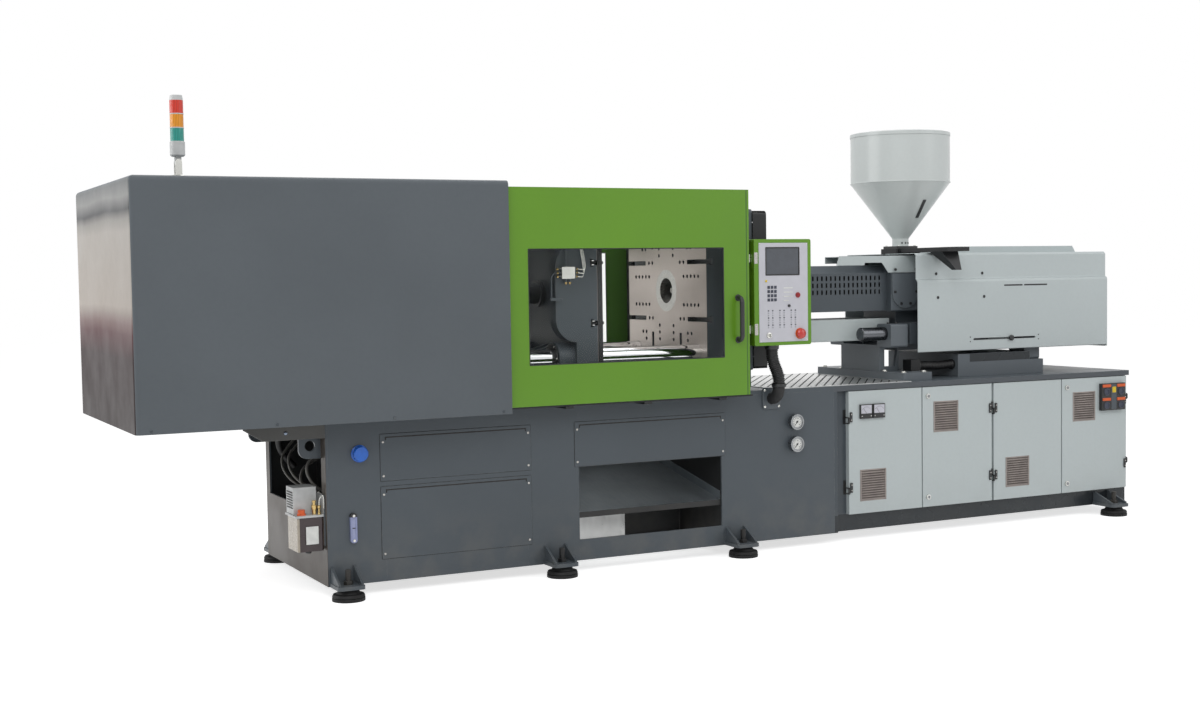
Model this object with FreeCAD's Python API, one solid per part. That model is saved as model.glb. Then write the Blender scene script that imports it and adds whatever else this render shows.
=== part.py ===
import FreeCAD, Part
import math
import os

# Horizontal injection moulding machine with a double-toggle clamp, guard doors, an injection unit and an
# electrical cabinet in its base. Millimetres. +X runs along the machine from the clamp end to the injection
# end, +Y points away from the operator and +Z is up. The origin lies on the floor under the middle.
# Stations are distances along the machine from the left end of the clamp cover.

V = FreeCAD.Vector

# ---- Base ---------------------------------------------------------------------------------------------
foot_height = 50.0             # floor to the underside of the base
base_height = 735.0
base_half_width = 472.5
base_start = 807.0             # the clamp cover overhangs the base by this much
clamp_base_length = 2613.0
injection_base_length = 1990.0
base_wall = 10.0
base_top_wall = 20.0
end_bay_length = 233.0         # open bay in the left end
end_bay_sill = 300.0
end_bay_post = 60.0
chute_start = 2000.0
chute_length = 763.0
chute_sill = 95.0
tray_lift = 125.0              # front edge of the discharge tray above the sill of its opening
tray_rise = 185.0
chute_height = 335.0
chute_top_half_width = 260.0
chute_top_margin = 20.0
panel_start = 1050.0
panel_length = 710.0
panel_sheet = 2.5
panel_lap = 20.0               # how far a bolted panel laps its opening
panel_slot_height = 5.0
lower_panel_sill = 97.0
lower_panel_height = 313.0
upper_panel_sill = 434.0
upper_panel_height = 203.0
chute_panel_sill = 432.0
chute_panel_height = 205.0
rail_height = 15.0
rail_inner = 300.0
rail_width = 60.0
lug_length = 97.0
lug_height = 110.0
lug_thickness = 15.0
lug_hole_diameter = 45.0
lug_offset = 410.0
seat_gap = 0.3                 # small gap between pieces that rest or run against each other

# ---- Feet ---------------------------------------------------------------------------------------------
foot_stations = (874.0, 1876.0, 2838.0)
last_foot_inset = 179.0        # last foot to the end of the base
foot_offset = 67.5             # foot axis outside the base wall
foot_plate_thickness = 16.0
foot_plate_width = 120.0
foot_plate_reach = 125.0
gusset_thickness = 10.0
gusset_height = 70.0
stud_diameter = 24.0
stud_height = 130.0
nut_width = 36.0
pad_diameter = 140.0
pad_height = 44.0

# ---- Cabinet ------------------------------------------------------------------------------------------
first_door_inset = 85.0        # base joint to the first door
last_door_inset = 10.0         # last door to the end of the base
door_shares = (468.0, 467.0, 480.0, 480.0)    # widths of the four doors, as shares of the span they fill
door_sill = 85.0
door_head = 27.0               # lip height of the top plate over the doors
cabinet_depth = 320.0
cabinet_recess = 30.0          # the frame lies this far behind the base front
door_thickness = 26.0
door_sheet = 3.0
door_gap = 3.5
hinge_radius = 5.5
hinge_pin_radius = 2.5
hinge_length = 24.0
hinge_stagger = 17.0
hinge_inset = 6.0              # hinge axis inside each door's end of the span
hinge_heights = (220.0, 575.0)
vent_width = 148.0
vent_height = 146.0
vent_slats = 12
vent_insets = (81.5, 80.5, 94.5, 87.5)        # from each door's left edge
vent_sills = (153.0, 475.0, 154.0, 477.0)
lock_heights = (136.0, 658.0)
lock_radius = 13.0
lock_depth = 9.0
lock_inset = 36.0
meter_size = 72.0
meter_depth = 12.0
meter_inset = 72.0             # from the first door's left edge
meter_pitch = 80.0
meter_sill = 564.0
socket_inset = 272.0           # from the last door's left edge
socket_length = 173.0
socket_sill = 521.0
socket_height = 148.0
socket_depth = 22.0

# ---- Instruments on the base ----------------------------------------------------------------------------
gauge_station = 3178.0
gauge_heights = (464.0, 573.0)
gauge_diameter = 76.0
gauge_depth = 36.0
level_gauge_station = 922.0
level_gauge_sill = 180.0
level_gauge_height = 128.0
level_gauge_width = 30.0
level_gauge_depth = 14.0
filler_station = 957.0
filler_height = 560.0
filler_diameter = 66.0
filler_depth = 30.0
lubricator_width = 118.0
lubricator_depth = 150.0
reservoir_height = 145.0
pump_box_height = 115.0
lubricator_sill = 155.0
lubricator_offset = 450.0

# ---- Clamp --------------------------------------------------------------------------------------------
tie_bar_diameter = 80.0
tie_bar_spacing = 600.0
tie_bar_edge = 92.5            # tie bar axis to the edge of a platen
tie_bar_start = 640.0
running_clearance = 0.06       # radial, for shafts and pins in bores
platen_lift = 80.0             # underside of the platens above the guide rails
mould_face_station = 2738.0
fixed_platen_thickness = 262.0
mould_daylight = 588.0
minimum_mould_height = 180.0
moving_plate_thickness = 110.0
moving_web_depth = 105.0
moving_web_thickness = 62.0
bar_boss_diameter = 150.0
bar_boss_length = 80.0
end_platen_thickness = 200.0
platen_edge_radius = 15.0
locating_bore_diameter = 125.0
locating_bore_depth = 25.0
nozzle_cone_diameter = 260.0
hole_diameter = 18.0
hole_depth = 35.0
hole_pitch = 35.0
slot_height = 140.0            # T-slot axis from the platen centre
slot_mouth = 22.0
slot_mouth_depth = 20.0
slot_head = 36.0
slot_head_depth = 16.0
slot_inner = 210.0             # where a T-slot ends towards the centre
bar_nut_diameter = 130.0
bar_nut_length = 55.0
adjusting_nut_diameter = 168.0
adjusting_nut_length = 100.0
ring_gear_thickness = 30.0
ring_gear_width = 34.0
bush_wall = 12.0

# ---- Toggle -------------------------------------------------------------------------------------------
rear_link_length = 270.0
front_link_length = 400.0
pivot_height = 330.0           # toggle pivots from the machine axis
front_pivot_setback = 260.0    # mould face to the front pivots
ear_length = 260.0             # end platen face to the rear pivots
pin_diameter = 60.0
link_eye_radius = 48.0
lug_along = 130.0              # bell-crank lug on a rear link, along it
lug_across = 70.0              # and towards the machine axis
lug_eye_radius = 38.0
link_spacer_along = 90.0       # spacer between the plates of a rear link, from its fixed pivot
link_spacer_radius = 24.0
small_pin_diameter = 44.0
crosshead_pin_height = 120.0
crosshead_link_length = 143.0
crosshead_half_length = 55.0
crosshead_half_width = 275.0
crosshead_half_height = 55.0
guide_rod_offset = 245.0
guide_rod_diameter = 50.0
guide_rod_length = 460.0
layer_gap = 5.0                # between neighbouring link plates
stub_gap = 0.3                 # half the gap between the halves of an open pivot
small_plate = 45.0             # crosshead link plate
inner_plate = 40.0             # rear link plates and their pitch
middle_plate = 50.0            # front link plate
ear_plate = 25.0
centre_plate = 15.0
clamp_cylinder_diameter = 220.0
clamp_cylinder_length = 440.0
piston_rod_diameter = 90.0
ejector_cylinder_diameter = 100.0
ejector_cylinder_length = 320.0
ejector_rod_diameter = 36.0
ejector_inset = 50.0

# ---- Clamp cover, doors and their rails -------------------------------------------------------------------
cover_length = 1600.0
cover_half_width = 640.0
cover_drop = 28.0              # the cover hangs this far below the base top
cover_height = 1013.0
cover_wall = 4.0
cover_edge_radius = 22.0
cover_lip_inner = 500.0
guard_start = 1570.0
guard_length = 1279.0
guard_inset = 40.0             # outer face of a door inside the cover's side
guard_depth = 40.0
guard_sheet = 3.0
guard_lift = -5.0              # door bottom relative to the base top
guard_head_drop = 25.0         # top of a door below the top of the cover
window_margins = (135.0, 139.0)               # left and right of the window, to the door's edges
window_sill = 175.0            # above the base top
window_height = 515.0
pane_thickness = 6.0
pane_lap = 20.0
rail_bar_depth = 20.0
rail_bar_height = 25.0
rail_start = 480.0
rail_end = 2868.0
hook_length = 60.0
post_length = 68.0
post_depth = 56.0
arm_stations = (850.0, 1200.0, 1545.0, 1900.0, 2300.0, 2700.0)
arm_length = 40.0
handle_inset = 64.0            # handle to the door's right edge
handle_sill = 256.0            # above the base top
handle_height = 198.0
handle_diameter = 22.0
handle_reach = 37.0

# ---- Control panel --------------------------------------------------------------------------------------
panel_station = 2902.0
panel_width = 325.0
panel_height = 509.0
panel_bottom = 220.0           # above the base top
panel_depth = 56.0
panel_setback = 40.0           # front face behind the outer face of the doors
panel_edge_radius = 10.0
panel_margins = (26.0, 20.0, 18.0, 17.0)      # left, right, top, bottom of the white face
panel_face_proud = 2.0
panel_face_inset = 3.0
screen_place = (64.0, 257.0, 39.0, 173.0)     # left, right, top, bottom inside the housing's outline
screen_recess = 2.0
keypad_place = (73.0, 223.0)
keypad_pitch = (19.0, 20.0)
keypad_key = 14.0
stop_place = (258.0, 455.0)
stop_diameter = 48.0
stop_height = 26.0
stop_travel = 6.0
stop_stem_diameter = 24.0
switch_place = (80.0, 460.0)
knob_place = (246.0, 269.0)
panel_hinge_heights = (90.0, 430.0)
panel_hinge_radius = 9.0
panel_hinge_pin = 4.0
panel_hinge_length = 60.0
panel_hinge_offset = 12.0      # hinge axis left of the housing

# ---- Conduit from the panel to the base --------------------------------------------------------------------
conduit_bore = 46.0
conduit_root = 52.0
conduit_crest = 60.0
conduit_pitch = 9.0
conduit_bend = 150.0
conduit_top_x = 115.0          # from the housing's left edge
elbow_station = 3048.0
elbow_height = 695.0
elbow_radius = 62.0
flange_size = 104.0
flange_thickness = 8.0

# ---- Signal tower -----------------------------------------------------------------------------------------
tower_station = 240.0
tower_inset = 220.0            # from the side of the clamp cover
tower_foot_diameter = 76.0
tower_foot_thickness = 14.0
tower_pivot_height = 66.0
tower_clevis = 9.0
tower_tongue = 16.0
tower_lug_radius = 13.0
tower_pin_radius = 5.0
tower_base_diameter = 60.0
tower_base_height = 58.0
tower_lens_diameter = 54.0
tower_lens_height = 56.0
tower_lens_count = 3
tower_lens_groove = 2.5
tower_cap_height = 20.0

# ---- Injection unit ---------------------------------------------------------------------------------------
barrel_height = 0.0            # barrel axis above the clamp axis
hopper_station = 4205.0
deck_start = 3920.0
deck_length = 190.0
deck_half_width = 390.0
deck_height = 40.0
stand_wall = 20.0
stand_head = 290.0             # top of the front support above the base top
stand_window = (45.0, 128.0)
unit_rod_diameter = 70.0
unit_rod_offset = 210.0
unit_rod_height = 240.0        # above the base top
unit_rod_start = 3775.0
unit_rod_end = 4945.0
pedestal_start = 4350.0
pedestal_length = 500.0
pedestal_height = 120.0
pedestal_tail = 95.0           # how far the pedestal's sole runs on behind it
pedestal_sole = 75.0
saddle_length = 110.0
pedestal_half_width = 300.0
nozzle_cylinder_size = (90.0, 115.0)
nozzle_cylinder_offset = 95.0
nozzle_cylinder_height = 262.0
nozzle_cylinder_end = 4018.0
nozzle_rod_diameter = 40.0
nozzle_rod_length = 330.0
feed_block_start = 3985.0
feed_block_length = 365.0
feed_block_half_width = 200.0
feed_block_top = 595.0         # above the base top
feed_block_bottom = 355.0
saddle_start = 4060.0
saddle_bottom = 145.0
saddle_inset = 60.0            # of the casting under the feed block, from its sides
side_plate_width = 172.0
side_plate_thickness = 12.0
side_plate_drop = 182.0
side_plate_bolt = 14.0
injection_cylinder_diameter = 130.0
injection_cylinder_offset = 175.0
injection_cylinder_length = 350.0
injection_rod_diameter = 50.0
thrust_plate_start = 4750.0
thrust_plate_thickness = 50.0
screw_motor_diameter = 210.0
screw_motor_length = 320.0
bearing_diameter = 150.0
bearing_length = 100.0
screw_diameter = 55.0
screw_start = 2900.0
barrel_diameter = 120.0
barrel_start = 2880.0
band_diameter = 136.0
band_length = 125.0
band_pitch = 165.0
band_count = 6
nozzle_start = 2768.0
nozzle_diameter = 62.0
nozzle_bore = 8.0
barrel_cover_start = 3120.0
barrel_cover_half_width = 160.0
barrel_cover_drop = 127.0
barrel_cover_side_top = 72.0
barrel_cover_top = 112.0
barrel_cover_top_half_width = 118.0
barrel_cover_sheet = 2.0
vent_slot_pitch = (28.2, 36.0)
vent_slot_size = (10.0, 24.0)
vent_slot_columns = 29
vent_slot_rows = 3
hood_start = 3635.0
hood_end = 4150.0
hood_roof_start = 3850.0       # ahead of it only the operator's side has a wall
hood_top = 649.0               # above the base top
hood_bottom = 560.0
hood_step = 600.0
hood_wall = 3.0
unit_cover_start = 4067.0
unit_cover_length = 1340.0
unit_cover_half_width = 320.0
unit_cover_upper_half_width = 305.0
unit_cover_bottom = 130.0      # above the base top
unit_cover_ridge = 518.0
unit_cover_top = 660.0
unit_cover_wall = 3.0
side_slot_start = 375.0        # from the cover's left end
side_slot_length = 425.0
side_slot_sill = 68.0          # above the cover's lower edge
side_slot_width = 8.0
unit_lid_start = 4425.0
unit_lid_length = 840.0
unit_lid_half_width = 200.0
unit_lid_rise = 35.0
track_half_length = 80.0
track_half_width = 72.0
track_reach = 470.0
track_thickness = 28.0
hopper_travel = 360.0
hopper_foot_thickness = 14.0
hopper_foot_half = 68.0
throat_diameter = 74.0
riser_half = 42.0              # of the feed tube between the casting and the track
neck_outer_diameter = 88.0
hopper_sheet = 3.0
neck_height = 41.0
cone_height = 297.0
hopper_wall_height = 263.0
hopper_diameter = 530.0
lid_skirt = 15.0
lid_rise = 20.0
lid_hinge_radius = 7.0
lid_hinge_pin = 3.0
lid_hinge_drop = 12.0          # hinge axis below the hopper's rim
spout_top = (110.0, 100.0)
spout_bottom = (36.0, 34.0)
spout_shift = 30.0             # of the outlet, along the machine
spout_drop = 98.0
spout_lean = 70.0
spout_wall = 3.0
hose_diameter = 46.0
hose_bore = 34.0
hose_root = 39.0
hose_pitch = 10.0
hose_offset = 250.0
hose_height = 65.0
hose_start = 4112.0
hose_block = (60.0, 70.0, 60.0)               # length, width, height of the hose's block on the support
hose_end = 4380.0
hose_bend = 300.0
deck_cover_start = 3085.0
deck_cover_thickness = 3.0
deck_cover_half_width = 452.0
deck_slot_width = 9.0
deck_slot_pitch = 50.0
deck_slot_angle = 51.0
deck_slot_margin = 22.0

# ---- Derived places ---------------------------------------------------------------------------------------
overall_length = base_start + clamp_base_length + injection_base_length
base_joint = base_start + clamp_base_length
base_end = overall_length
base_top = foot_height + base_height
rail_top = base_top + rail_height
platen_half = tie_bar_spacing / 2 + tie_bar_edge
axis_height = rail_top + platen_lift + platen_half
bar_offset = tie_bar_spacing / 2
bar_places = [(sy * bar_offset, axis_height + sz * bar_offset) for sy in (-1, 1) for sz in (-1, 1)]
moving_face_station = mould_face_station - mould_daylight
clamp_stroke = mould_daylight - minimum_mould_height
pivot_distance = rear_link_length + front_link_length - clamp_stroke
front_pivot_station = moving_face_station - front_pivot_setback
rear_pivot_station = front_pivot_station - pivot_distance
end_face_station = rear_pivot_station - ear_length
end_back_station = end_face_station - end_platen_thickness
platen_back_station = mould_face_station + fixed_platen_thickness
moving_back_station = moving_face_station - moving_plate_thickness
cover_bottom = base_top - cover_drop
cover_top = cover_bottom + cover_height
guard_plane = cover_half_width - guard_inset
tower_offset = cover_half_width - tower_inset
guard_height = cover_top - guard_head_drop - base_top - guard_lift
window_start = guard_start + window_margins[0]
window_length = guard_length - window_margins[0] - window_margins[1]
handle_station = guard_start + guard_length - handle_inset
panel_front = guard_plane - panel_setback
rod_axis = base_top + unit_rod_height

# Stations where one cabinet door ends and the next begins.
door_unit = (injection_base_length - first_door_inset - last_door_inset) / sum(door_shares)
door_divisions = [base_joint + first_door_inset + sum(door_shares[:i]) * door_unit for i in range(5)]

# Angles of the toggle links from the machine axis with the clamp open; both are zero when it is closed.
rear_angle = math.acos((rear_link_length ** 2 + pivot_distance ** 2 - front_link_length ** 2)
                       / (2 * rear_link_length * pivot_distance))
front_angle = math.asin(rear_link_length * math.sin(rear_angle) / front_link_length)


def st(distance):
    """X of a station."""
    return distance - overall_length / 2


def block(x, y, z):
    """Box between the low and high values of each axis."""
    return Part.makeBox(x[1] - x[0], y[1] - y[0], z[1] - z[0], V(x[0], y[0], z[0]))


def round_block(x, y, z, axis, radius):
    """Box with the four edges along one axis rounded."""
    shape = block(x, y, z)
    edges = [e for e in shape.Edges if abs(abs(e.tangentAt(e.FirstParameter).dot(axis)) - 1) < 1e-6]
    return shape.makeFillet(radius, edges)


def rod(start, axis, length, radius):
    """Cylinder from a point along an axis."""
    return Part.makeCylinder(radius, length, V(*start), V(*axis))


def rod_x(x, y, z, radius):
    """Cylinder along X between two X values."""
    return rod((x[0], y, z), (1, 0, 0), x[1] - x[0], radius)


def prism_y(points, y):
    """Outline in X and Z carried along Y."""
    wire = Part.makePolygon([V(px, y[0], pz) for px, pz in points + points[:1]])
    return Part.Face(wire).extrude(V(0, y[1] - y[0], 0))


def prism_x(points, x):
    """Outline in Y and Z carried along X."""
    wire = Part.makePolygon([V(x[0], py, pz) for py, pz in points + points[:1]])
    return Part.Face(wire).extrude(V(x[1] - x[0], 0, 0))


def turned(profile, start, axis):
    """Body of revolution: (radius, distance) pairs turned about an axis through a start point."""
    wire = Part.makePolygon([V(r, 0, d) for r, d in profile + profile[:1]])
    shape = Part.Face(wire).revolve(V(0, 0, 0), V(0, 0, 1), 360)
    shape.Placement = FreeCAD.Placement(V(*start), FreeCAD.Rotation(V(0, 0, 1), V(*axis)))
    return shape


def fuse(shapes):
    """One solid from pieces that are really one."""
    return shapes[0].multiFuse(shapes[1:]).removeSplitter()


def group(shapes):
    """Separate solids in one node."""
    return Part.makeCompound(shapes)


def mirror_y(shape):
    """Copy on the far side of the mid-plane."""
    return shape.mirror(V(0, 0, 0), V(0, 1, 0))


def mirror_z(shape):
    """Copy on the other side of the machine axis."""
    return shape.mirror(V(0, 0, axis_height), V(0, 0, 1))


def both_sides(shape):
    """The shape and its copy across the mid-plane."""
    return [shape, mirror_y(shape)]


# ---- Base -----------------------------------------------------------------------------------------------
def lifting_lug():
    """Lug on the end wall, with a rounded outer corner and a hole for a shackle."""
    low = base_top - base_top_wall - 60 - lug_height
    x = (st(base_start - lug_length), st(base_start))
    y = (-lug_offset - lug_thickness / 2, -lug_offset + lug_thickness / 2)
    lug = block(x, y, (low, low + lug_height))
    corner = [e for e in lug.Edges
              if e.BoundBox.XMax < x[0] + 1 and e.BoundBox.ZMax < low + 1 and e.BoundBox.YLength > 1]
    lug = lug.makeFillet(lug_height * 0.35, corner)
    hole = rod((x[0] + lug_length * 0.5, y[0] - 1, low + lug_height * 0.5), (0, 1, 0), lug_thickness + 2,
               lug_hole_diameter / 2)
    return lug.cut(hole)


def runs_between(span, gaps):
    """Stretches of a span that its gaps leave."""
    stretches = []
    low = span[0]
    for start, end in sorted(gaps):
        stretches.append((low, start))
        low = end
    stretches.append((low, span[1]))
    return [run for run in stretches if run[1] - run[0] > 0.01]


def plates_round(width, height, openings):
    """Flat strips of a wall welded round its openings: posts of full height, and rails between them."""
    edges = sorted({edge for across, _ in [(width, height)] + openings for edge in across})
    strips = []
    for start, end in zip(edges[:-1], edges[1:]):
        if end - start > 0.01:
            middle = (start + end) / 2
            gaps = [up for across, up in openings if across[0] < middle < across[1]]
            strips += [((start, end), run) for run in runs_between(height, gaps)]
    return strips


def panel_opening(start, length, sill, height):
    """Opening in a side wall behind a bolted panel, as X and Z limits."""
    return ((st(start + panel_lap), st(start + length - panel_lap)),
            (foot_height + sill + panel_lap, foot_height + sill + height - panel_lap))


def clamp_base():
    """Left part of the base, welded from plates round its bays, with the guide rails and lifting lugs."""
    inner = base_half_width - base_wall
    wall_z = (foot_height, base_top - base_top_wall)
    length = (st(base_start), st(base_joint))
    chute_end = chute_start + chute_length
    end_wall = (length[0], length[0] + base_wall)
    side_openings = [
        panel_opening(panel_start, panel_length, lower_panel_sill, lower_panel_height),
        panel_opening(panel_start, panel_length, upper_panel_sill, upper_panel_height),
        panel_opening(chute_start - panel_lap, chute_length + 2 * panel_lap, chute_panel_sill, chute_panel_height),
        ((st(chute_start), st(chute_end)), (foot_height + chute_sill, foot_height + chute_sill + chute_height))]
    bay_opening = ((-base_half_width + end_bay_post, base_half_width - end_bay_post),
                   (foot_height + end_bay_sill, wall_z[1] - 15))
    deck_opening = ((st(chute_start + chute_top_margin), st(mould_face_station - 2 * chute_top_margin)),
                    (-chute_top_half_width, chute_top_half_width))
    plates = [block(x, y, (wall_z[1], base_top))
              for x, y in plates_round(length, (-base_half_width, base_half_width), [deck_opening])]
    plates += [block(end_wall, y, z)
               for y, z in plates_round((-base_half_width, base_half_width), wall_z, [bay_opening])]
    for x, z in plates_round((end_wall[1], length[1]), wall_z, side_openings):
        plates += both_sides(block(x, (inner, base_half_width), z))
    for station in (base_start + base_wall + end_bay_length, chute_start - base_wall, chute_end,
                    base_joint - base_wall):
        plates.append(block((st(station), st(station + base_wall)), (-inner, inner), wall_z))
    rail = block((end_wall[1], st(platen_back_station)), (rail_inner, rail_inner + rail_width),
                 (base_top, rail_top))
    return group(plates + both_sides(rail) + both_sides(lifting_lug()))


def hinge_axis(left_hinged, start, end):
    """X of a cabinet door's hinge axis."""
    return st(start) + hinge_inset if left_hinged else st(end) - hinge_inset


def door_specs():
    """Each cabinet door's start, end and hinge side."""
    spans = list(zip(door_divisions[:-1], door_divisions[1:]))
    return [(start, end, i % 2 == 0) for i, (start, end) in enumerate(spans)]


def hinge_shift(left_hinged):
    """Doors that share a post have their hinges one above the other."""
    return -hinge_stagger if left_hinged else hinge_stagger


hinge_y = -base_half_width


def injection_base():
    """Welded right part of the base: cabinet in front, closed bay behind, hinge pins on the frame."""
    outer = block((st(base_joint), st(base_end)), (-base_half_width, base_half_width), (foot_height, base_top))
    door_low = foot_height + door_sill
    door_high = base_top - door_head
    frame_face = -base_half_width + cabinet_recess
    cabinet_back = frame_face + cabinet_depth
    cuts = [block((st(base_joint) + 2 * base_wall, st(base_end) + 1), (-base_half_width - 1, frame_face),
                  (foot_height - 1, door_high))]
    for start, end, _ in door_specs():
        cuts.append(block((st(start) + base_wall, st(end) - base_wall), (frame_face - 1, cabinet_back),
                          (door_low + base_wall, door_high - base_wall)))
    cuts.append(block((st(base_joint) + base_wall, st(base_end) - base_wall),
                      (cabinet_back + base_wall, base_half_width - base_wall),
                      (foot_height - 1, base_top - base_top_wall)))
    body = outer.cut(Part.makeCompound(cuts))
    tabs = []
    for start, end, left in door_specs():
        x = hinge_axis(left, start, end)
        for height in hinge_heights:
            mid = foot_height + height + hinge_shift(left)
            tabs.append(rod((x, hinge_y, mid - hinge_length / 2 - 4), (0, 0, 1), hinge_length + 8,
                            hinge_pin_radius))
            for side in (-1, 1):
                z = mid + side * (hinge_length / 2 + 2.5)
                tabs.append(block((x - 2, x + 2), (hinge_y - 2.5, frame_face), (z - 1.8, z + 1.8)))
    return fuse([body] + tabs)


def cabinet_door(index):
    """Folded sheet door with its louvre vent, hinge knuckles and, on some doors, locks or instruments."""
    start, end, left = door_specs()[index]
    low = foot_height + door_sill
    high = base_top - door_head - door_gap
    x = (st(start) + (2 * door_gap if left else door_gap), st(end) - (door_gap if left else 2 * door_gap))
    front = -base_half_width + cabinet_recess - door_thickness - seat_gap
    back = -base_half_width + cabinet_recess - seat_gap
    skin = block(x, (front, back), (low, high))
    skin = skin.cut(block((x[0] + door_sheet, x[1] - door_sheet), (front + door_sheet, back + 1),
                          (low + door_sheet, high - door_sheet)))
    vent_x = st(start + vent_insets[index])
    vent_z = foot_height + vent_sills[index]
    skin = skin.cut(block((vent_x, vent_x + vent_width), (front - 1, front + door_sheet + 1),
                          (vent_z, vent_z + vent_height)))
    parts = [skin]
    pitch = vent_height / vent_slats
    for i in range(vent_slats):
        z = vent_z + i * pitch
        slat = prism_x([(front - 3, z), (front - 3, z + 3), (front + 10, z + pitch), (front + 10, z + pitch - 3)],
                       (vent_x - 4, vent_x + vent_width + 4))
        parts.append(slat)
    parts.append(block((vent_x - 6, vent_x), (front - 3, front + 10), (vent_z - 6, vent_z + vent_height + 6)))
    parts.append(block((vent_x + vent_width, vent_x + vent_width + 6), (front - 3, front + 10),
                       (vent_z - 6, vent_z + vent_height + 6)))
    axis_x = hinge_axis(left, start, end)
    bores = []
    for height in hinge_heights:
        mid = foot_height + height + hinge_shift(left)
        z0 = mid - hinge_length / 2
        parts.append(rod((axis_x, hinge_y, z0), (0, 0, 1), hinge_length, hinge_radius))
        bores.append(rod((axis_x, hinge_y, z0 - 1), (0, 0, 1), hinge_length + 2,
                         hinge_pin_radius + running_clearance))
        for side in (-1, 1):
            z = mid + side * (hinge_length / 2 + 2.5)
            bores.append(block((axis_x - 4.5, axis_x + 4.5), (hinge_y - 6, back + 1), (z - 2.5, z + 2.5)))
    if not left:
        for height in lock_heights:
            parts.append(rod((st(start + lock_inset), front, foot_height + height), (0, -1, 0), lock_depth, lock_radius))
    if index == 0:
        for i in range(2):
            mx = st(start + meter_inset) + i * meter_pitch
            mz = foot_height + meter_sill
            parts.append(block((mx, mx + meter_size), (front - meter_depth, front), (mz, mz + meter_size)))
    if index == 3:
        sx = st(start + socket_inset)
        sz = foot_height + socket_sill
        parts.append(block((sx, sx + socket_length), (front - socket_depth, front), (sz, sz + socket_height)))
    return fuse(parts).cut(Part.makeCompound(bores))


def foot(station, recess, height):
    """Welded bracket with two gussets, levelling stud with nuts, and rubber pad, on the operator's side."""
    x = st(station)
    y = -base_half_width - foot_offset
    wall = -base_half_width + recess
    plate_low = foot_height
    plate_high = foot_height + foot_plate_thickness
    half = foot_plate_width / 2
    tip = -base_half_width - foot_plate_reach
    plate = round_block((x - half, x + half), (tip, wall), (plate_low, plate_high), V(0, 0, 1), 18)
    plate = plate.fuse(block((x - half, x + half), (wall - 20, wall), (plate_low, plate_high)))
    ribs = []
    for side in (-1, 1):
        gx = x + side * (half - gusset_thickness)
        ribs.append(prism_x([(wall, plate_high - 1), (tip + 18, plate_high - 1), (tip + 18, plate_high + 8),
                             (wall, plate_high + height)],
                            (gx - gusset_thickness / 2, gx + gusset_thickness / 2)))
    hole = rod((x, y, plate_low - 1), (0, 0, 1), foot_plate_thickness + 2, stud_diameter / 2 + seat_gap)
    bracket = fuse([plate] + ribs).cut(hole)
    hexagon = [V(x + nut_width / 2 / math.cos(math.pi / 6) * math.cos(a * math.pi / 3),
                 y + nut_width / 2 / math.cos(math.pi / 6) * math.sin(a * math.pi / 3), 0) for a in range(7)]
    nuts = []
    for low, height in ((pad_height, plate_low - pad_height), (plate_high, 16.0)):
        face = Part.Face(Part.makePolygon([V(p.x, p.y, low) for p in hexagon]))
        nuts.append(face.extrude(V(0, 0, height)))
    stud = fuse([rod((x, y, pad_height), (0, 0, 1), stud_height - pad_height, stud_diameter / 2)] + nuts)
    r = pad_diameter / 2
    pad = turned([(0, 0), (r, 0), (r, 12), (r - 5, 15), (r, 18), (r - 4, 28), (r * 0.72, 32),
                  (r * 0.62, pad_height), (0, pad_height)], (x, y, 0), (0, 0, 1))
    return [bracket, stud, pad]


def feet():
    """Eight feet, four a side; the one under the cabinet is set back with its frame and lower."""
    solids = []
    for station in foot_stations + (base_end - last_foot_inset,):
        far = foot(station, 0, gusset_height)
        near = far
        if station > base_joint:
            near = foot(station, cabinet_recess, door_sill - foot_plate_thickness - 10)
        solids.extend(near + [mirror_y(piece) for piece in far])
    return group(solids)


def access_panel(start, length, sill, height):
    """Bolted sheet panel with a pull slot along its top, on the operator's side."""
    y = (-base_half_width - panel_sheet, -base_half_width)
    z = (foot_height + sill, foot_height + sill + height)
    sheet = block((st(start), st(start + length)), y, z)
    slot = block((st(start) + 24, st(start + length) - 24), (y[0] - 1, y[1] + 1),
                 (z[1] - 12 - panel_slot_height, z[1] - 12))
    return sheet.cut(slot)


def access_panels():
    """Bolted panels of the clamp base, alike on both sides."""
    solids = []
    for spec in ((panel_start, panel_length, lower_panel_sill, lower_panel_height),
                 (panel_start, panel_length, upper_panel_sill, upper_panel_height),
                 (chute_start - panel_lap, chute_length + 2 * panel_lap, chute_panel_sill, chute_panel_height)):
        solids.extend(both_sides(access_panel(*spec)))
    return group(solids)


def discharge_tray():
    """Folded sloping tray that carries parts out to the operator, with upright cheeks."""
    x = (st(chute_start) + seat_gap, st(chute_start + chute_length) - seat_gap)
    front = -base_half_width + 12
    back = base_half_width - base_wall - 20
    low = foot_height + chute_sill + tray_lift
    high = low + tray_rise
    sheet = 3.0
    slope = [(front, low - 26), (front, low), (back, high), (back, high - sheet), (front + sheet, low - sheet),
             (front + sheet, low - 26)]
    cheek = [(front, low - sheet), (front, low + 40), (back, high + 40), (back, high - sheet)]
    floor = prism_x(slope, x)
    left = prism_x(cheek, (x[0], x[0] + sheet))
    right = prism_x(cheek, (x[1] - sheet, x[1]))
    return fuse([floor, left, right])


def filler_cap():
    """Ribbed screw cap of the oil filler."""
    r = filler_diameter / 2
    start = (st(filler_station), -base_half_width - seat_gap, foot_height + filler_height)
    cap = turned([(0, 0), (r + 4, 0), (r + 4, 6), (r, 8), (r, filler_depth - 4), (r - 4, filler_depth),
                  (0, filler_depth)], start, (0, -1, 0))
    grips = []
    for i in range(12):
        a = i * math.pi / 6
        grips.append(rod((start[0] + (r + 2) * math.cos(a), start[1] - 9, start[2] + (r + 2) * math.sin(a)),
                         (0, -1, 0), filler_depth, 4))
    return cap.cut(Part.makeCompound(grips))


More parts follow.
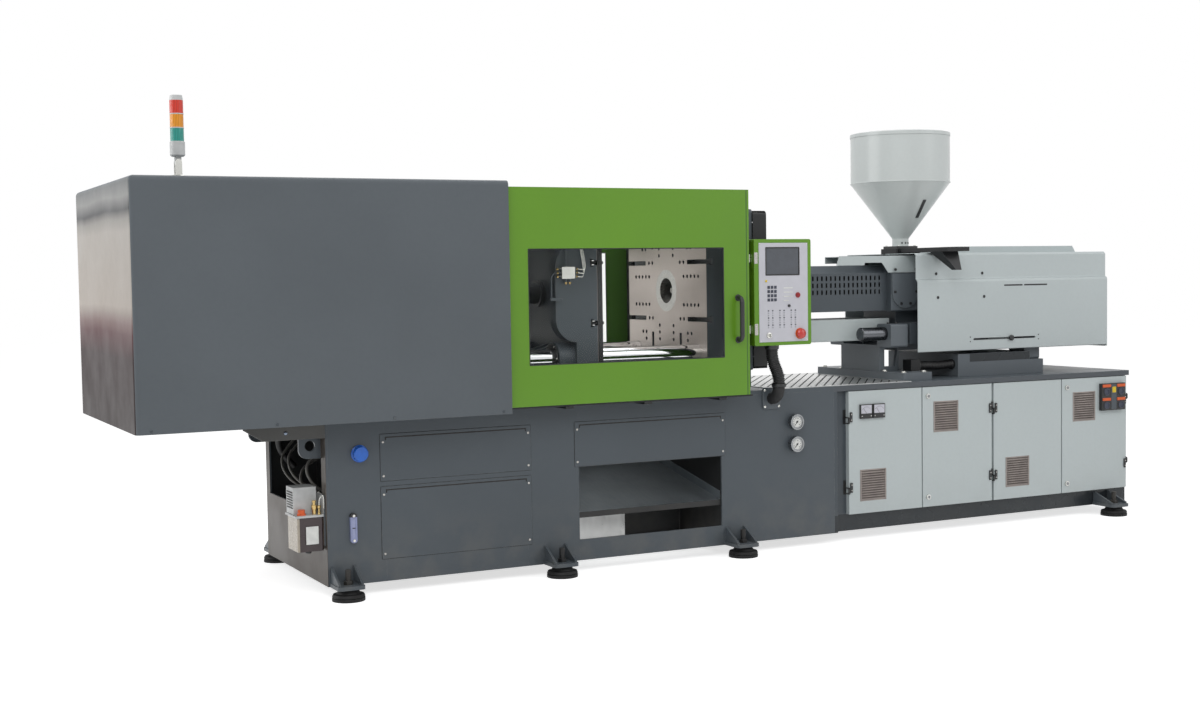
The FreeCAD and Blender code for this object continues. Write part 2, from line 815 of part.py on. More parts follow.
def gauges():
    """Two pressure gauges and the oil level gauge."""
    r = gauge_diameter / 2
    solids = []
    for height in gauge_heights:
        start = (st(gauge_station), -base_half_width, foot_height + height)
        solids.append(turned([(0, 0), (r - 6, 0), (r - 6, 12), (r, 14), (r, gauge_depth), (r - 5, gauge_depth),
                              (r - 7, gauge_depth - 5), (0, gauge_depth - 5)], start, (0, -1, 0)))
    x = st(level_gauge_station)
    low = foot_height + level_gauge_sill
    half = level_gauge_width / 2
    frame = round_block((x - half, x + half), (-base_half_width - level_gauge_depth, -base_half_width),
                        (low, low + level_gauge_height), V(0, 1, 0), half - 2)
    slot = round_block((x - half + 8, x + half - 8),
                       (-base_half_width - level_gauge_depth - 1, -base_half_width - level_gauge_depth + 4),
                       (low + 22, low + level_gauge_height - 22), V(0, 1, 0), half - 9)
    solids.append(frame.cut(slot))
    return group(solids)


def lubricator():
    """Lubrication pump on its reservoir, hung on the end wall by a back plate."""
    x1 = st(base_start)
    x0 = x1 - lubricator_width - 10
    y0 = -lubricator_offset
    low = foot_height + lubricator_sill
    lid = low + reservoir_height
    tank = round_block((x0 + 8, x1 - 7), (y0, y0 + lubricator_depth), (low, lid), V(0, 0, 1), 8)
    cover = block((x0, x1 - 7), (y0 - 4, y0 + lubricator_depth + 4), (lid, lid + 9))
    pump = block((x0 + 6, x1 - 22), (y0 + 48, y0 + lubricator_depth + 4), (lid + 9, lid + 9 + pump_box_height))
    cap = turned([(0, 0), (19, 0), (19, 6), (15, 8), (15, 24), (0, 24)], (x0 + 32, y0 + 22, lid + 9), (0, 0, 1))
    outlet = turned([(0, 0), (9, 0), (9, 22), (12, 22), (12, 40), (0, 40)],
                    (x1 - 40, y0 + 22, lid + 9), (0, 0, 1))
    plate = block((x1 - 7, x1), (y0 - 4, y0 + lubricator_depth + 4), (low + 20, lid + 90))
    return fuse([tank, cover, pump, cap, outlet, plate])


def deck_cover():
    """Bright sheet over the deck between the fixed platen and the injection unit, with diagonal slots."""
    x = (st(deck_cover_start), st(deck_start) - seat_gap)
    y = (-deck_cover_half_width, deck_cover_half_width)
    z = (base_top, base_top + deck_cover_thickness)
    sheet = block(x, y, z)
    margin = deck_slot_margin
    field = block((x[0] + margin, x[1] - margin), (y[0] + margin, y[1] - margin), (z[0] - 1, z[1] + 1))
    run = 2 * deck_cover_half_width / math.tan(math.radians(deck_slot_angle))
    length = 2 * deck_cover_half_width / math.sin(math.radians(deck_slot_angle))
    count = int((x[1] - x[0] + run) / deck_slot_pitch)
    slots = []
    for i in range(count):
        slot = Part.makeBox(length, deck_slot_width, deck_cover_thickness + 2)
        slot.translate(V(0, -deck_slot_width / 2, 0))
        slot.rotate(V(0, 0, 0), V(0, 0, 1), deck_slot_angle)
        slot.translate(V(x[1] - margin - (i + 0.5) * deck_slot_pitch, y[0], z[0] - 1))
        slots.append(slot.common(field))
    return sheet.cut(Part.makeCompound([s for s in slots if s.Volume > 500]))


# ---- Platens --------------------------------------------------------------------------------------------
def mounting_face(thickness):
    """Platen plate with its mould face at X = 0 towards -X: T-slots and the tapped hole grid."""
    half = platen_half
    plate = round_block((0, thickness), (-half, half), (-half, half), V(1, 0, 0), platen_edge_radius)
    cuts = []
    mouth = slot_mouth / 2
    head = slot_head / 2
    deep = slot_mouth_depth + slot_head_depth
    profile = ((0 - 1, slot_mouth_depth, mouth), (slot_mouth_depth - 0.5, deep, head))
    for sy in (-1, 1):
        for sz in (-1, 1):
            for x0, x1, w in profile:
                reach = sorted((sy * slot_inner, sy * (half + 1)))
                cuts.append(block((x0, x1), reach, (sz * slot_height - w, sz * slot_height + w)))
                rise = sorted((sz * slot_inner, sz * (half + 1)))
                cuts.append(block((x0, x1), (sy * slot_height - w, sy * slot_height + w), rise))
    for y, z in hole_grid():
        cuts.append(rod((-1, y, z), (1, 0, 0), hole_depth + 1, hole_diameter / 2))
    return plate.cut(Part.makeCompound(cuts))


def hole_grid():
    """Centres of the tapped holes of a mould face, in four alike quarters."""
    p = hole_pitch
    quarter = [(k * p, 2 * p) for k in range(5, 10)]
    quarter += [(4 * p, 4 * p), (5 * p, 4 * p)]
    quarter += [(2 * p, k * p) for k in (5, 6, 7)]
    quarter += [(6 * p, 6 * p), (7 * p, 6 * p), (6 * p, 7 * p)]
    return [(sy * y, sz * z) for sy in (-1, 1) for sz in (-1, 1) for y, z in quarter]


def rail_feet(x, gap):
    """Feet of a platen on the two guide rails."""
    low = rail_top + gap
    high = rail_top + platen_lift + platen_edge_radius
    inner = block(x, (rail_inner - 10, rail_inner + rail_width + 10), (low, high))
    return both_sides(inner)


def bar_holes(x, radius):
    """Four cylinders on the tie bar axes."""
    return [rod_x(x, y, z, radius) for y, z in bar_places]


def fixed_platen():
    """Fixed platen: drilled and slotted mould face, locating bore and a cone for the nozzle behind it."""
    x = (st(mould_face_station), st(platen_back_station))
    plate = mounting_face(fixed_platen_thickness)
    plate.translate(V(x[0], 0, axis_height))
    plate = fuse([plate] + rail_feet((x[0] + 22, x[1]), 0))
    cone = turned([(0, 0), (locating_bore_diameter / 2, 0),
                   (locating_bore_diameter / 2, locating_bore_depth),
                   (nozzle_cone_diameter / 2, fixed_platen_thickness + 1), (0, fixed_platen_thickness + 1)],
                  (x[0], 0, axis_height), (1, 0, 0))
    start = rod_x((x[0] - 1, x[0] + 1), 0, axis_height, locating_bore_diameter / 2)
    holes = bar_holes((x[0] - 1, x[1] + 1), tie_bar_diameter / 2 + seat_gap)
    return plate.cut(Part.makeCompound([cone, start] + holes))


def tie_bars():
    """Four tie bars with a nut behind the fixed platen on each."""
    r = tie_bar_diameter / 2
    nut_start = st(platen_back_station)
    length = nut_start + bar_nut_length + 7 - st(tie_bar_start)
    solids = []
    for y, z in bar_places:
        solids.append(turned([(0, 0), (r - 4, 0), (r, 4), (r, length - 4), (r - 4, length), (0, length)],
                             (st(tie_bar_start), y, z), (1, 0, 0)))
        outer = bar_nut_diameter / 2
        nut = turned([(r + seat_gap, 0), (outer, 0), (outer, bar_nut_length - 5),
                      (outer - 5, bar_nut_length), (r + seat_gap, bar_nut_length)],
                     (nut_start, y, z), (1, 0, 0))
        solids.append(nut)
    return group(solids)


def platen_rear_guard():
    """Dark sheet guard over the back of the fixed platen, open in the middle for the nozzle."""
    x = (st(platen_back_station), st(platen_back_station) + bar_nut_length + 23)
    half = platen_half + 7
    low = axis_height - platen_half + 6
    high = axis_height + platen_half - 8
    shell = round_block(x, (-half, half), (low, high), V(1, 0, 0), 20)
    sheet = 3.0
    shell = shell.cut(block((x[0] - 1, x[1] - sheet), (-half + sheet, half - sheet), (low + sheet, high - sheet)))
    shell = shell.cut(block((x[1] - sheet - 1, x[1] + 1), (-180, 180), (low + 90, axis_height + 180)))
    foot_flange = block((x[1] - sheet, x[1] + 12), (-half + 20, half - 20), (low, low + 16))
    return fuse([shell, foot_flange])


def pin_layers():
    """Y spans of the plates that share the toggle pins, on the far side of the mid-plane."""
    small = (centre_plate + layer_gap, centre_plate + layer_gap + small_plate)
    inner = (small[1] + layer_gap, small[1] + layer_gap + inner_plate)
    middle = (inner[1] + layer_gap, inner[1] + layer_gap + middle_plate)
    outer = (middle[1] + layer_gap, middle[1] + layer_gap + inner_plate)
    rim = (outer[1] + layer_gap, outer[1] + layer_gap + ear_plate)
    return {"small": small, "inner": inner, "middle": middle, "outer": outer, "rim": rim}


def link_plate(p, q, rp, rq, y):
    """Flat link between two eyes, its flanks tangent to both, across a span of Y."""
    dx, dz = q[0] - p[0], q[1] - p[1]
    length = math.hypot(dx, dz)
    tilt = math.atan2(dz, dx)
    lean = math.acos((rp - rq) / length)
    corners = []
    for centre, r, sign in ((p, rp, 1), (q, rq, 1), (q, rq, -1), (p, rp, -1)):
        a = tilt + sign * lean
        corners.append((centre[0] + r * math.cos(a), centre[1] + r * math.sin(a)))
    width = y[1] - y[0]
    web = prism_y(corners, y)
    eyes = [rod((c[0], y[0], c[1]), (0, 1, 0), width, r) for c, r in ((p, rp), (q, rq))]
    return fuse([web] + eyes)


def cross_pin(centre, y, radius):
    """Cylinder along Y about a pivot, across a span of Y."""
    return rod((centre[0], y[0], centre[1]), (0, 1, 0), y[1] - y[0], radius)


def toggle_points():
    """Pivots of the upper half of the toggle with the clamp open."""
    a = (st(rear_pivot_station), axis_height + pivot_height)
    c = (st(front_pivot_station), axis_height + pivot_height)
    b = (a[0] + rear_link_length * math.cos(rear_angle), a[1] - rear_link_length * math.sin(rear_angle))
    along = (math.cos(rear_angle), -math.sin(rear_angle))
    across = (-math.sin(rear_angle), -math.cos(rear_angle))
    e = (a[0] + lug_along * along[0] + lug_across * across[0],
         a[1] + lug_along * along[1] + lug_across * across[1])
    drop = e[1] - axis_height - crosshead_pin_height
    d = (e[0] - math.sqrt(crosshead_link_length ** 2 - drop ** 2), axis_height + crosshead_pin_height)
    return a, b, c, d, e


def crosshead_closed_x():
    """X of the crosshead pins with the clamp closed."""
    a = toggle_points()[0]
    drop = pivot_height - lug_across - crosshead_pin_height
    return a[0] + lug_along - math.sqrt(crosshead_link_length ** 2 - drop ** 2)


def rear_link():
    """Upper rear links: two plates a side joined by a spacer, with a bell-crank lug on the inner ones."""
    a, b, _, _, e = toggle_points()
    y = pin_layers()
    pieces = []
    bore = small_pin_diameter / 2
    for name in ("inner", "outer"):
        plate = link_plate(a, b, link_eye_radius, link_eye_radius, y[name])
        if name == "inner":
            plate = plate.fuse(link_plate(((a[0] + b[0]) / 2, (a[1] + b[1]) / 2), e, link_eye_radius,
                                          lug_eye_radius, y[name]))
        pieces.append(plate)
    half_gap = layer_gap / 2 - stub_gap
    pieces.append(cross_pin(b, (y["inner"][1] - 1, y["inner"][1] + half_gap), pin_diameter / 2 - 4))
    pieces.append(cross_pin(b, (y["outer"][0] - half_gap, y["outer"][0] + 1), pin_diameter / 2 - 4))
    pieces.append(cross_pin(e, (y["inner"][0] - half_gap, y["inner"][0] + 1), bore))
    share = link_spacer_along / rear_link_length
    centre = (a[0] + (b[0] - a[0]) * share, a[1] + (b[1] - a[1]) * share)
    pieces.append(cross_pin(centre, (y["inner"][1] - 1, y["outer"][0] + 1), link_spacer_radius))
    link = fuse(pieces)
    link = link.cut(cross_pin(a, (y["inner"][0] - 1, y["outer"][1] + 1), pin_diameter / 2 + running_clearance))
    return group(both_sides(link))


def front_links():
    """Upper front links, one a side, with half pins at the elbow and a bore at the moving platen."""
    _, b, c, _, _ = toggle_points()
    y = pin_layers()["middle"]
    half_gap = layer_gap / 2 - stub_gap
    plate = link_plate(b, c, link_eye_radius, link_eye_radius, y)
    stub = cross_pin(b, (y[0] - half_gap, y[1] + half_gap), pin_diameter / 2 - 4)
    link = fuse([plate, stub])
    link = link.cut(cross_pin(c, (y[0] - 1, y[1] + 1), pin_diameter / 2 + running_clearance))
    return group(both_sides(link))


def crosshead_links():
    """Upper crosshead links, one a side, with half pins at the rear link and a bore at the crosshead."""
    _, _, _, d, e = toggle_points()
    y = pin_layers()["small"]
    half_gap = layer_gap / 2 - stub_gap
    plate = link_plate(d, e, lug_eye_radius, lug_eye_radius, y)
    stub = cross_pin(e, (y[1] - 1, y[1] + half_gap), small_pin_diameter / 2)
    link = fuse([plate, stub])
    link = link.cut(cross_pin(d, (y[0] - 1, y[1] + 1), small_pin_diameter / 2 + running_clearance))
    return group(both_sides(link))


def crosshead():
    """Crosshead on its guide rods, with its pins and the piston rod."""
    d = toggle_points()[3]
    y = pin_layers()
    x = (d[0] - crosshead_half_length, d[0] + crosshead_half_length)
    beam = round_block(x, (-crosshead_half_width, crosshead_half_width),
                       (axis_height - crosshead_half_height, axis_height + crosshead_half_height), V(1, 0, 0), 14)
    lugs = []
    for span in ((-centre_plate, centre_plate), (y["inner"][0], y["inner"][1] - 10),
                 (-y["inner"][1] + 10, -y["inner"][0])):
        upper = link_plate((d[0], axis_height), d, lug_eye_radius + 8, lug_eye_radius, span)
        lugs.extend([upper, mirror_z(upper)])
    pin = cross_pin(d, (-y["inner"][1] + 10, y["inner"][1] - 10), small_pin_diameter / 2)
    rod_end = st(end_back_station) - clamp_cylinder_length + 40
    piston_rod = rod_x((rod_end, x[0] + 1), 0, axis_height, piston_rod_diameter / 2)
    bores = [rod_x((x[0] - 1, x[1] + 1), side * guide_rod_offset, axis_height,
                   guide_rod_diameter / 2 + running_clearance) for side in (-1, 1)]
    return fuse([beam, pin, mirror_z(pin), piston_rod] + lugs).cut(Part.makeCompound(bores))


def toggle_ears(face_x, pivot, spans):
    """Ears from a platen face out to a pivot, tapered to the eye."""
    ears = []
    for span in spans:
        eye = link_eye_radius + 4
        low, high = pivot[1] - 75, pivot[1] + eye
        side = 1 if pivot[0] > face_x else -1
        root = face_x - side * 2
        web = prism_y([(root, low - 20), (pivot[0], pivot[1] - eye), (pivot[0], pivot[1] + eye), (root, high)], span)
        ears.append(fuse([web, rod((pivot[0], span[0], pivot[1]), (0, 1, 0), span[1] - span[0], eye)]))
        ears.append(mirror_y(ears[-1]))
    return ears


def end_platen():
    """End platen on the tie bars with the ears of the rear pivots and the two crosshead guide rods."""
    a = toggle_points()[0]
    y = pin_layers()
    x = (st(end_back_station), st(end_face_station))
    plate = round_block(x, (-platen_half, platen_half), (axis_height - platen_half, axis_height + platen_half),
                        V(1, 0, 0), platen_edge_radius)
    spans = ((y["inner"][0] - layer_gap - ear_plate, y["inner"][0] - layer_gap), y["middle"], y["rim"])
    upper = toggle_ears(x[1], a, spans)
    body = fuse([plate] + rail_feet(x, seat_gap) + upper + [mirror_z(e) for e in upper])
    bore = cross_pin(a, (-y["rim"][1] - 1, y["rim"][1] + 1), pin_diameter / 2 + running_clearance)
    cuts = bar_holes((x[0] - 1, x[1] + 1), tie_bar_diameter / 2 + running_clearance)
    cuts += [bore, mirror_z(bore)]
    cuts.append(rod_x((x[0] - 1, x[1] + 1), 0, axis_height, piston_rod_diameter / 2 + running_clearance))
    body = body.cut(Part.makeCompound(cuts))
    rods = [rod_x((x[1], x[1] + guide_rod_length), side * guide_rod_offset, axis_height, guide_rod_diameter / 2)
            for side in (-1, 1)]
    return group([body] + rods)


def end_platen_pins():
    """Pins of the rear toggle pivots."""
    a = toggle_points()[0]
    half = pin_layers()["rim"][1] + 4
    pin = cross_pin(a, (-half, half), pin_diameter / 2)
    return group([pin, mirror_z(pin)])


def moving_platen_pins():
    """Pins of the front toggle pivots, a short one a side."""
    c = toggle_points()[2]
    y = pin_layers()
    span = (y["middle"][0] - layer_gap - ear_plate - 4, y["middle"][1] + layer_gap + ear_plate + 4)
    pin = cross_pin(c, span, pin_diameter / 2)
    return group(both_sides(pin) + both_sides(mirror_z(pin)))


def moving_platen():
    """Moving platen: mould face as on the fixed one, bar bosses, curved side webs and pivot ears."""
    face = st(moving_face_station)
    back = st(moving_back_station)
    plate = mounting_face(moving_plate_thickness)
    plate = plate.mirror(V(0, 0, 0), V(1, 0, 0))
    plate.translate(V(face, 0, axis_height))
    c = toggle_points()[2]
    y = pin_layers()
    deep = moving_web_depth
    top = bar_offset - bar_boss_diameter / 2
    outline = [V(back + 1, 0, -top), V(back - deep, 0, -top + deep), V(back - deep, 0, top - deep),
               V(back + 1, 0, top)]
    bend = deep * 0.3
    edges = [Part.Arc(outline[0], V(back - deep + bend, 0, -top + bend), outline[1]).toShape(),
             Part.LineSegment(outline[1], outline[2]).toShape(),
             Part.Arc(outline[2], V(back - deep + bend, 0, top - bend), outline[3]).toShape(),
             Part.LineSegment(outline[3], outline[0]).toShape()]
    web_face = Part.Face(Part.Wire(edges))
    web_face.translate(V(0, platen_half - moving_web_thickness, axis_height))
    web = web_face.extrude(V(0, moving_web_thickness, 0))
    bosses = bar_holes((back - bar_boss_length, back + 1), bar_boss_diameter / 2)
    ears = toggle_ears(back, c, ((y["middle"][0] - layer_gap - ear_plate, y["middle"][0] - layer_gap),
                                 (y["middle"][1] + layer_gap, y["middle"][1] + layer_gap + ear_plate)))
    ears += [mirror_z(e) for e in ears]
    body = fuse([plate] + both_sides(web) + bosses + ears + rail_feet((back, face - 22), seat_gap))
    bore = cross_pin(c, (-y["rim"][1] - 1, y["rim"][1] + 1), pin_diameter / 2 + running_clearance)
    cuts = bar_holes((back - bar_boss_length - 1, face + 1), tie_bar_diameter / 2 + bush_wall)
    cuts += [bore, mirror_z(bore)]
    cuts.append(rod_x((back - 1, face + 1), 0, axis_height, ejector_rod_diameter / 2 + running_clearance))
    return body.cut(Part.makeCompound(cuts))


def platen_bushes():
    """Bushes of the moving platen on the tie bars."""
    x0 = st(moving_back_station) - bar_boss_length
    length = st(moving_face_station) - 30 - x0
    inner = tie_bar_diameter / 2 + running_clearance
    outer = tie_bar_diameter / 2 + bush_wall
    profile = [(inner, 0), (outer, 0), (outer, length), (inner, length)]
    return group([turned(profile, (x0, y, z), (1, 0, 0)) for y, z in bar_places])


def adjusting_nuts():
    """Die height nuts behind the end platen with the ring gear that turns them together."""
    x1 = st(end_back_station)
    r = adjusting_nut_diameter / 2
    inner = tie_bar_diameter / 2 + running_clearance
    solids = []
    for y, z in bar_places:
        solids.append(turned([(inner, 0), (r - 14, 0), (r - 14, 34), (r, 34), (r, 74), (r - 14, 74),
                              (r - 14, adjusting_nut_length), (inner, adjusting_nut_length)],
                             (x1 - adjusting_nut_length, y, z), (1, 0, 0)))
    outer = math.hypot(bar_offset, bar_offset) - r - seat_gap
    gear = turned([(outer - ring_gear_width, 0), (outer, 0), (outer, ring_gear_thickness),
                   (outer - ring_gear_width, ring_gear_thickness)], (x1 - 69, 0, axis_height), (1, 0, 0))
    rollers = []
    for i in range(4):
        a = i * math.pi / 2
        reach = outer - ring_gear_width - 16 - seat_gap
        rollers.append(rod((x1 - 69, reach * math.cos(a), axis_height + reach * math.sin(a)), (1, 0, 0), 69, 16))
    return group(solids + [gear] + rollers)


def clamp_cylinder():
    """Clamp cylinder bolted to the back of the end platen."""
    x1 = st(end_back_station)
    r = clamp_cylinder_diameter / 2
    n = clamp_cylinder_length
    inner = piston_rod_diameter / 2 + running_clearance
    profile = [(inner, 0), (r + 35, 0), (r + 35, 36), (r, 36), (r, n - 60), (r + 14, n - 60), (r + 14, n),
               (0, n), (0, n - 30), (inner, n - 30)]
    body = turned(profile, (x1, 0, axis_height), (-1, 0, 0))
    ports = [rod((x1 - d, 0, axis_height), (0, 0, 1), r + 30, 22) for d in (70, n - 30)]
    core = rod_x((x1 - n + 30, x1 + 1), 0, axis_height, inner)
    return fuse([body] + ports).cut(core)


def ejector_cylinder():
    """Ejector cylinder on the back of the moving platen."""
    x1 = st(moving_back_station)
    r = ejector_cylinder_diameter / 2
    n = ejector_cylinder_length
    inner = ejector_rod_diameter / 2 + running_clearance
    profile = [(inner, 0), (r + 14, 0), (r + 14, 22), (r, 22), (r, n - 34), (r + 6, n - 34), (r + 6, n),
               (0, n), (0, n - 24), (inner, n - 24)]
    return turned(profile, (x1, 0, axis_height), (-1, 0, 0))


def ejector_rod():
    """Ejector piston rod with its threaded end."""
    x0 = st(moving_back_station) - ejector_cylinder_length + 60
    x1 = st(moving_face_station) - ejector_inset
    r = ejector_rod_diameter / 2
    length = x1 - x0
    return turned([(0, 0), (r, 0), (r, length - 34), (r - 5, length - 30), (r - 5, length), (0, length)],
                  (x0, 0, axis_height), (1, 0, 0))


def arc_pipe(points, radius, bend):
    """Round pipe along straight runs joined by tangent arcs."""
    path = rounded_path(points, [bend] * (len(points) - 2))
    start = points[0]
    direction = (V(*points[1]) - V(*points[0])).normalize()
    ring = Part.Wire(Part.Circle(V(*start), direction, radius).toShape())
    return path.makePipeShell([ring], True, False)


def rounded_path(points, radii):
    """Wire of straight runs and tangent arcs through a list of corner points."""
    corners = [V(*p) for p in points]
    edges = []
    last = corners[0]
    for i in range(1, len(corners) - 1):
        before = (corners[i - 1] - corners[i]).normalize()
        after = (corners[i + 1] - corners[i]).normalize()
        half_turn = (math.pi - before.getAngle(after)) / 2
        reach = radii[i - 1] * math.tan(half_turn)
        p = corners[i] + before * reach
        q = corners[i] + after * reach
        bisector = (before + after).normalize()
        centre = corners[i] + bisector * (radii[i - 1] / math.cos(half_turn))
        middle = centre - bisector * radii[i - 1]
        edges.append(Part.LineSegment(last, p).toShape())
        edges.append(Part.Arc(p, middle, q).toShape())
        last = q
    edges.append(Part.LineSegment(last, corners[-1]).toShape())
    return Part.Wire(edges)


def lubrication_manifold():
    """Lubricant distributor on the moving platen's side, with its outlets and two of its pipes."""
    x0 = st(moving_back_station) - 85
    y = (-platen_half - 32, -platen_half)
    z = (axis_height + 68, axis_height + 122)
    body = block((x0, x0 + 66), y, z)
    mid_y = (y[0] + y[1]) / 2
    fittings = []
    for i in range(3):
        for x, way in ((x0, -1), (x0 + 66, 1)):
            fittings.append(rod((x, mid_y, z[0] + 10 + 17 * i), (way, 0, 0), 12, 5))
    for x in (x0 + 26, x0 + 46):
        fittings.append(rod((x, mid_y, z[0]), (0, 0, -1), 16, 5))
    riser = rod((x0 + 26, mid_y, z[1]), (0, 0, 1), platen_half - 150, 3.5)
    feed = arc_pipe([(x0 - 11, mid_y, z[0] + 27), (x0 - 48, mid_y, z[0] + 27), (x0 - 48, mid_y, z[0] - 90)],
                    3.5, 28)
    clip = block((x0 - 56, x0 - 20), (mid_y - 8, mid_y + 8), (z[0] - 100, z[0] - 88))
    strap = block((x0 - 26, x0 + 4), (mid_y - 8, y[1]), (z[0] - 100, z[0] - 88))
    return fuse([body, riser, feed, clip, strap] + fittings)


# ---- Clamp cover and guards -------------------------------------------------------------------------------
def clamp_cover():
    """Folded sheet cover of the clamp, open towards the doors, with a lip round its open underside."""
    x = (st(0), st(cover_length))
    z = (cover_bottom, cover_top)
    w = cover_half_width
    shell = block(x, (-w, w), z)
    edges = [e for e in shell.Edges if e.BoundBox.ZMin > z[1] - 1 and e.BoundBox.XLength > 10]
    edges += [e for e in shell.Edges if e.BoundBox.XMax < x[0] + 1 and e.BoundBox.ZLength > 10]
    edges += [e for e in shell.Edges if e.BoundBox.XMax < x[0] + 1 and e.BoundBox.ZMin > z[1] - 1]
    shell = shell.makeFillet(cover_edge_radius, edges)
    wall = cover_wall
    inner = block((x[0] + wall, x[1] + 1), (-w + wall, w - wall), (z[0] + wall, z[1] - wall))
    edges = [e for e in inner.Edges if e.BoundBox.ZMin > z[1] - wall - 1 and e.BoundBox.XLength > 10]
    edges += [e for e in inner.Edges if e.BoundBox.XMax < x[0] + wall + 1 and e.BoundBox.ZLength > 10]
    edges += [e for e in inner.Edges if e.BoundBox.XMax < x[0] + wall + 1 and e.BoundBox.ZMin > z[1] - wall - 1]
    inner = inner.makeFillet(cover_edge_radius - wall, edges)
    under = block((x[0] + 100, x[1] + 1), (-cover_lip_inner, cover_lip_inner), (z[0] - 1, z[0] + wall + 1))
    return shell.cut(inner).cut(under)


guard_low = base_top + guard_lift
guard_high = guard_low + guard_height
guard_inside = guard_plane - guard_depth


def guard_door():
    """Folded sheet guard door with its window, rail hooks and bow handle, on the far side."""
    x = (st(guard_start), st(guard_start + guard_length))
    y = (guard_inside, guard_plane)
    door = block(x, y, (guard_low, guard_high))
    door = door.cut(block((x[0] + guard_sheet, x[1] - guard_sheet), (y[0] - 1, y[1] - guard_sheet),
                          (guard_low + guard_sheet, guard_high - guard_sheet)))
    door = door.cut(block((st(window_start), st(window_start + window_length)), (y[0] - 1, y[1] + 1),
                          (base_top + window_sill, base_top + window_sill + window_height)))
    bar_top = guard_high - 20
    bar_inner = guard_inside - 4 - rail_bar_depth
    hooks = []
    for hx in (x[0] + 40, x[1] - 40 - hook_length):
        hooks.append(block((hx, hx + hook_length), (bar_inner + 2, y[1] - 1), (bar_top + seat_gap, bar_top + 9)))
    hx = st(handle_station)
    low = base_top + handle_sill
    high = low + handle_height
    reach = y[1] + handle_reach
    bow = arc_pipe([(hx, y[1] - 1, low), (hx, reach, low), (hx, reach, high), (hx, y[1] - 1, high)],
                   handle_diameter / 2, 24)
    return fuse([door, bow] + hooks)


def guard_pane():
    """Clear pane behind the window of a far-side door."""
    y1 = guard_plane - guard_sheet
    return block((st(window_start) - pane_lap, st(window_start + window_length) + pane_lap),
                 (y1 - pane_thickness, y1),
                 (base_top + window_sill - pane_lap, base_top + window_sill + window_height + pane_lap))


def door_frame():
    """Rails, arms and posts that carry the guard doors, and the hinge pins of the control panel."""
    bar_top = guard_high - 20
    bar_outer = guard_inside - 4
    bar_inner = bar_outer - rail_bar_depth
    x = (st(rail_start), st(rail_end))
    upper = block(x, (bar_inner, bar_outer), (bar_top - rail_bar_height, bar_top))
    rail_top_z = guard_low - seat_gap
    lower = block(x, (guard_inside + 8, guard_inside + 32), (rail_top_z - 8, rail_top_z))
    arms = []
    for station in arm_stations:
        arms.append(block((st(station) - arm_length / 2, st(station) + arm_length / 2),
                          (base_half_width, guard_inside + 36), (cover_bottom + cover_wall, rail_top_z - 8)))
    post = block((st(rail_end - post_length), st(rail_end)), (bar_inner - post_depth, bar_inner),
                 (base_top, bar_top + 5))
    sole = block((st(rail_end - post_length), st(rail_end)), (base_half_width - 60, bar_inner),
                 (base_top, base_top + 12))
    hangers = []
    for station in (rail_start + 20, cover_length - 60):
        hangers.append(block((st(station), st(station) + 40), (bar_inner - 10, bar_inner),
                             (bar_top - rail_bar_height, cover_top - cover_wall)))
    far = fuse([upper, lower, post, sole] + arms + hangers)
    near = fuse([mirror_y(far)] + panel_hinge_leaves())
    return group([near, far])


# ---- Control panel ----------------------------------------------------------------------------------------
panel_x = (st(panel_station), st(panel_station + panel_width))
panel_z = (base_top + panel_bottom, base_top + panel_bottom + panel_height)
panel_hinge_x = panel_x[0] - panel_hinge_offset
panel_hinge_y = -panel_front + panel_depth / 2


def panel_point(place):
    """X and Z of a place given from the panel's upper left corner."""
    return panel_x[0] + place[0], panel_z[1] - place[1]


def panel_hinge_leaves():
    """Hinge pins on leaves that stand out from the post."""
    pieces = []
    half = panel_hinge_length / 2
    for drop in panel_hinge_heights:
        mid = panel_z[1] - drop
        pieces.append(rod((panel_hinge_x, panel_hinge_y, mid - half), (0, 0, 1), 2 * half, panel_hinge_pin))
        for side in (-1, 1):
            z = mid + side * (half - 5)
            pieces.append(block((st(rail_end) - 6, panel_hinge_x + 6), (panel_hinge_y - 4, panel_hinge_y + 8),
                                (z - 5, z + 5)))
    return pieces


def panel_housing():
    """Housing of the control panel with its hinge knuckles and the gland of the conduit."""
    y = (-panel_front, -panel_front + panel_depth)
    shell = round_block(panel_x, y, panel_z, V(0, 1, 0), panel_edge_radius)
    left, right, top, bottom = panel_margins
    pocket = block((panel_x[0] + left, panel_x[1] - right), (y[0] - 1, y[0] + panel_face_inset),
                   (panel_z[0] + bottom, panel_z[1] - top))
    hollow = block((panel_x[0] + left + 6, panel_x[1] - right - 6), (y[0], y[1] - 4),
                   (panel_z[0] + bottom + 6, panel_z[1] - top - 6))
    shell = shell.cut(pocket).cut(hollow)
    half = panel_hinge_length / 2 - 10.5
    knuckles = []
    bores = []
    for drop in panel_hinge_heights:
        mid = panel_z[1] - drop
        knuckles.append(rod((panel_hinge_x, panel_hinge_y, mid - half), (0, 0, 1), 2 * half, panel_hinge_radius))
        knuckles.append(block((panel_hinge_x, panel_x[0] + 2), (panel_hinge_y - 4, panel_hinge_y + 4),
                              (mid - half, mid + half)))
        bores.append(rod((panel_hinge_x, panel_hinge_y, mid - half - 1), (0, 0, 1), 2 * half + 2,
                         panel_hinge_pin + running_clearance))
    gland = turned([(0, 0), (34, 0), (34, 14), (31, 20), (0, 20)],
                   (panel_x[0] + conduit_top_x, panel_hinge_y, panel_z[0]), (0, 0, -1))
    return fuse([shell, gland] + knuckles).cut(Part.makeCompound(bores))


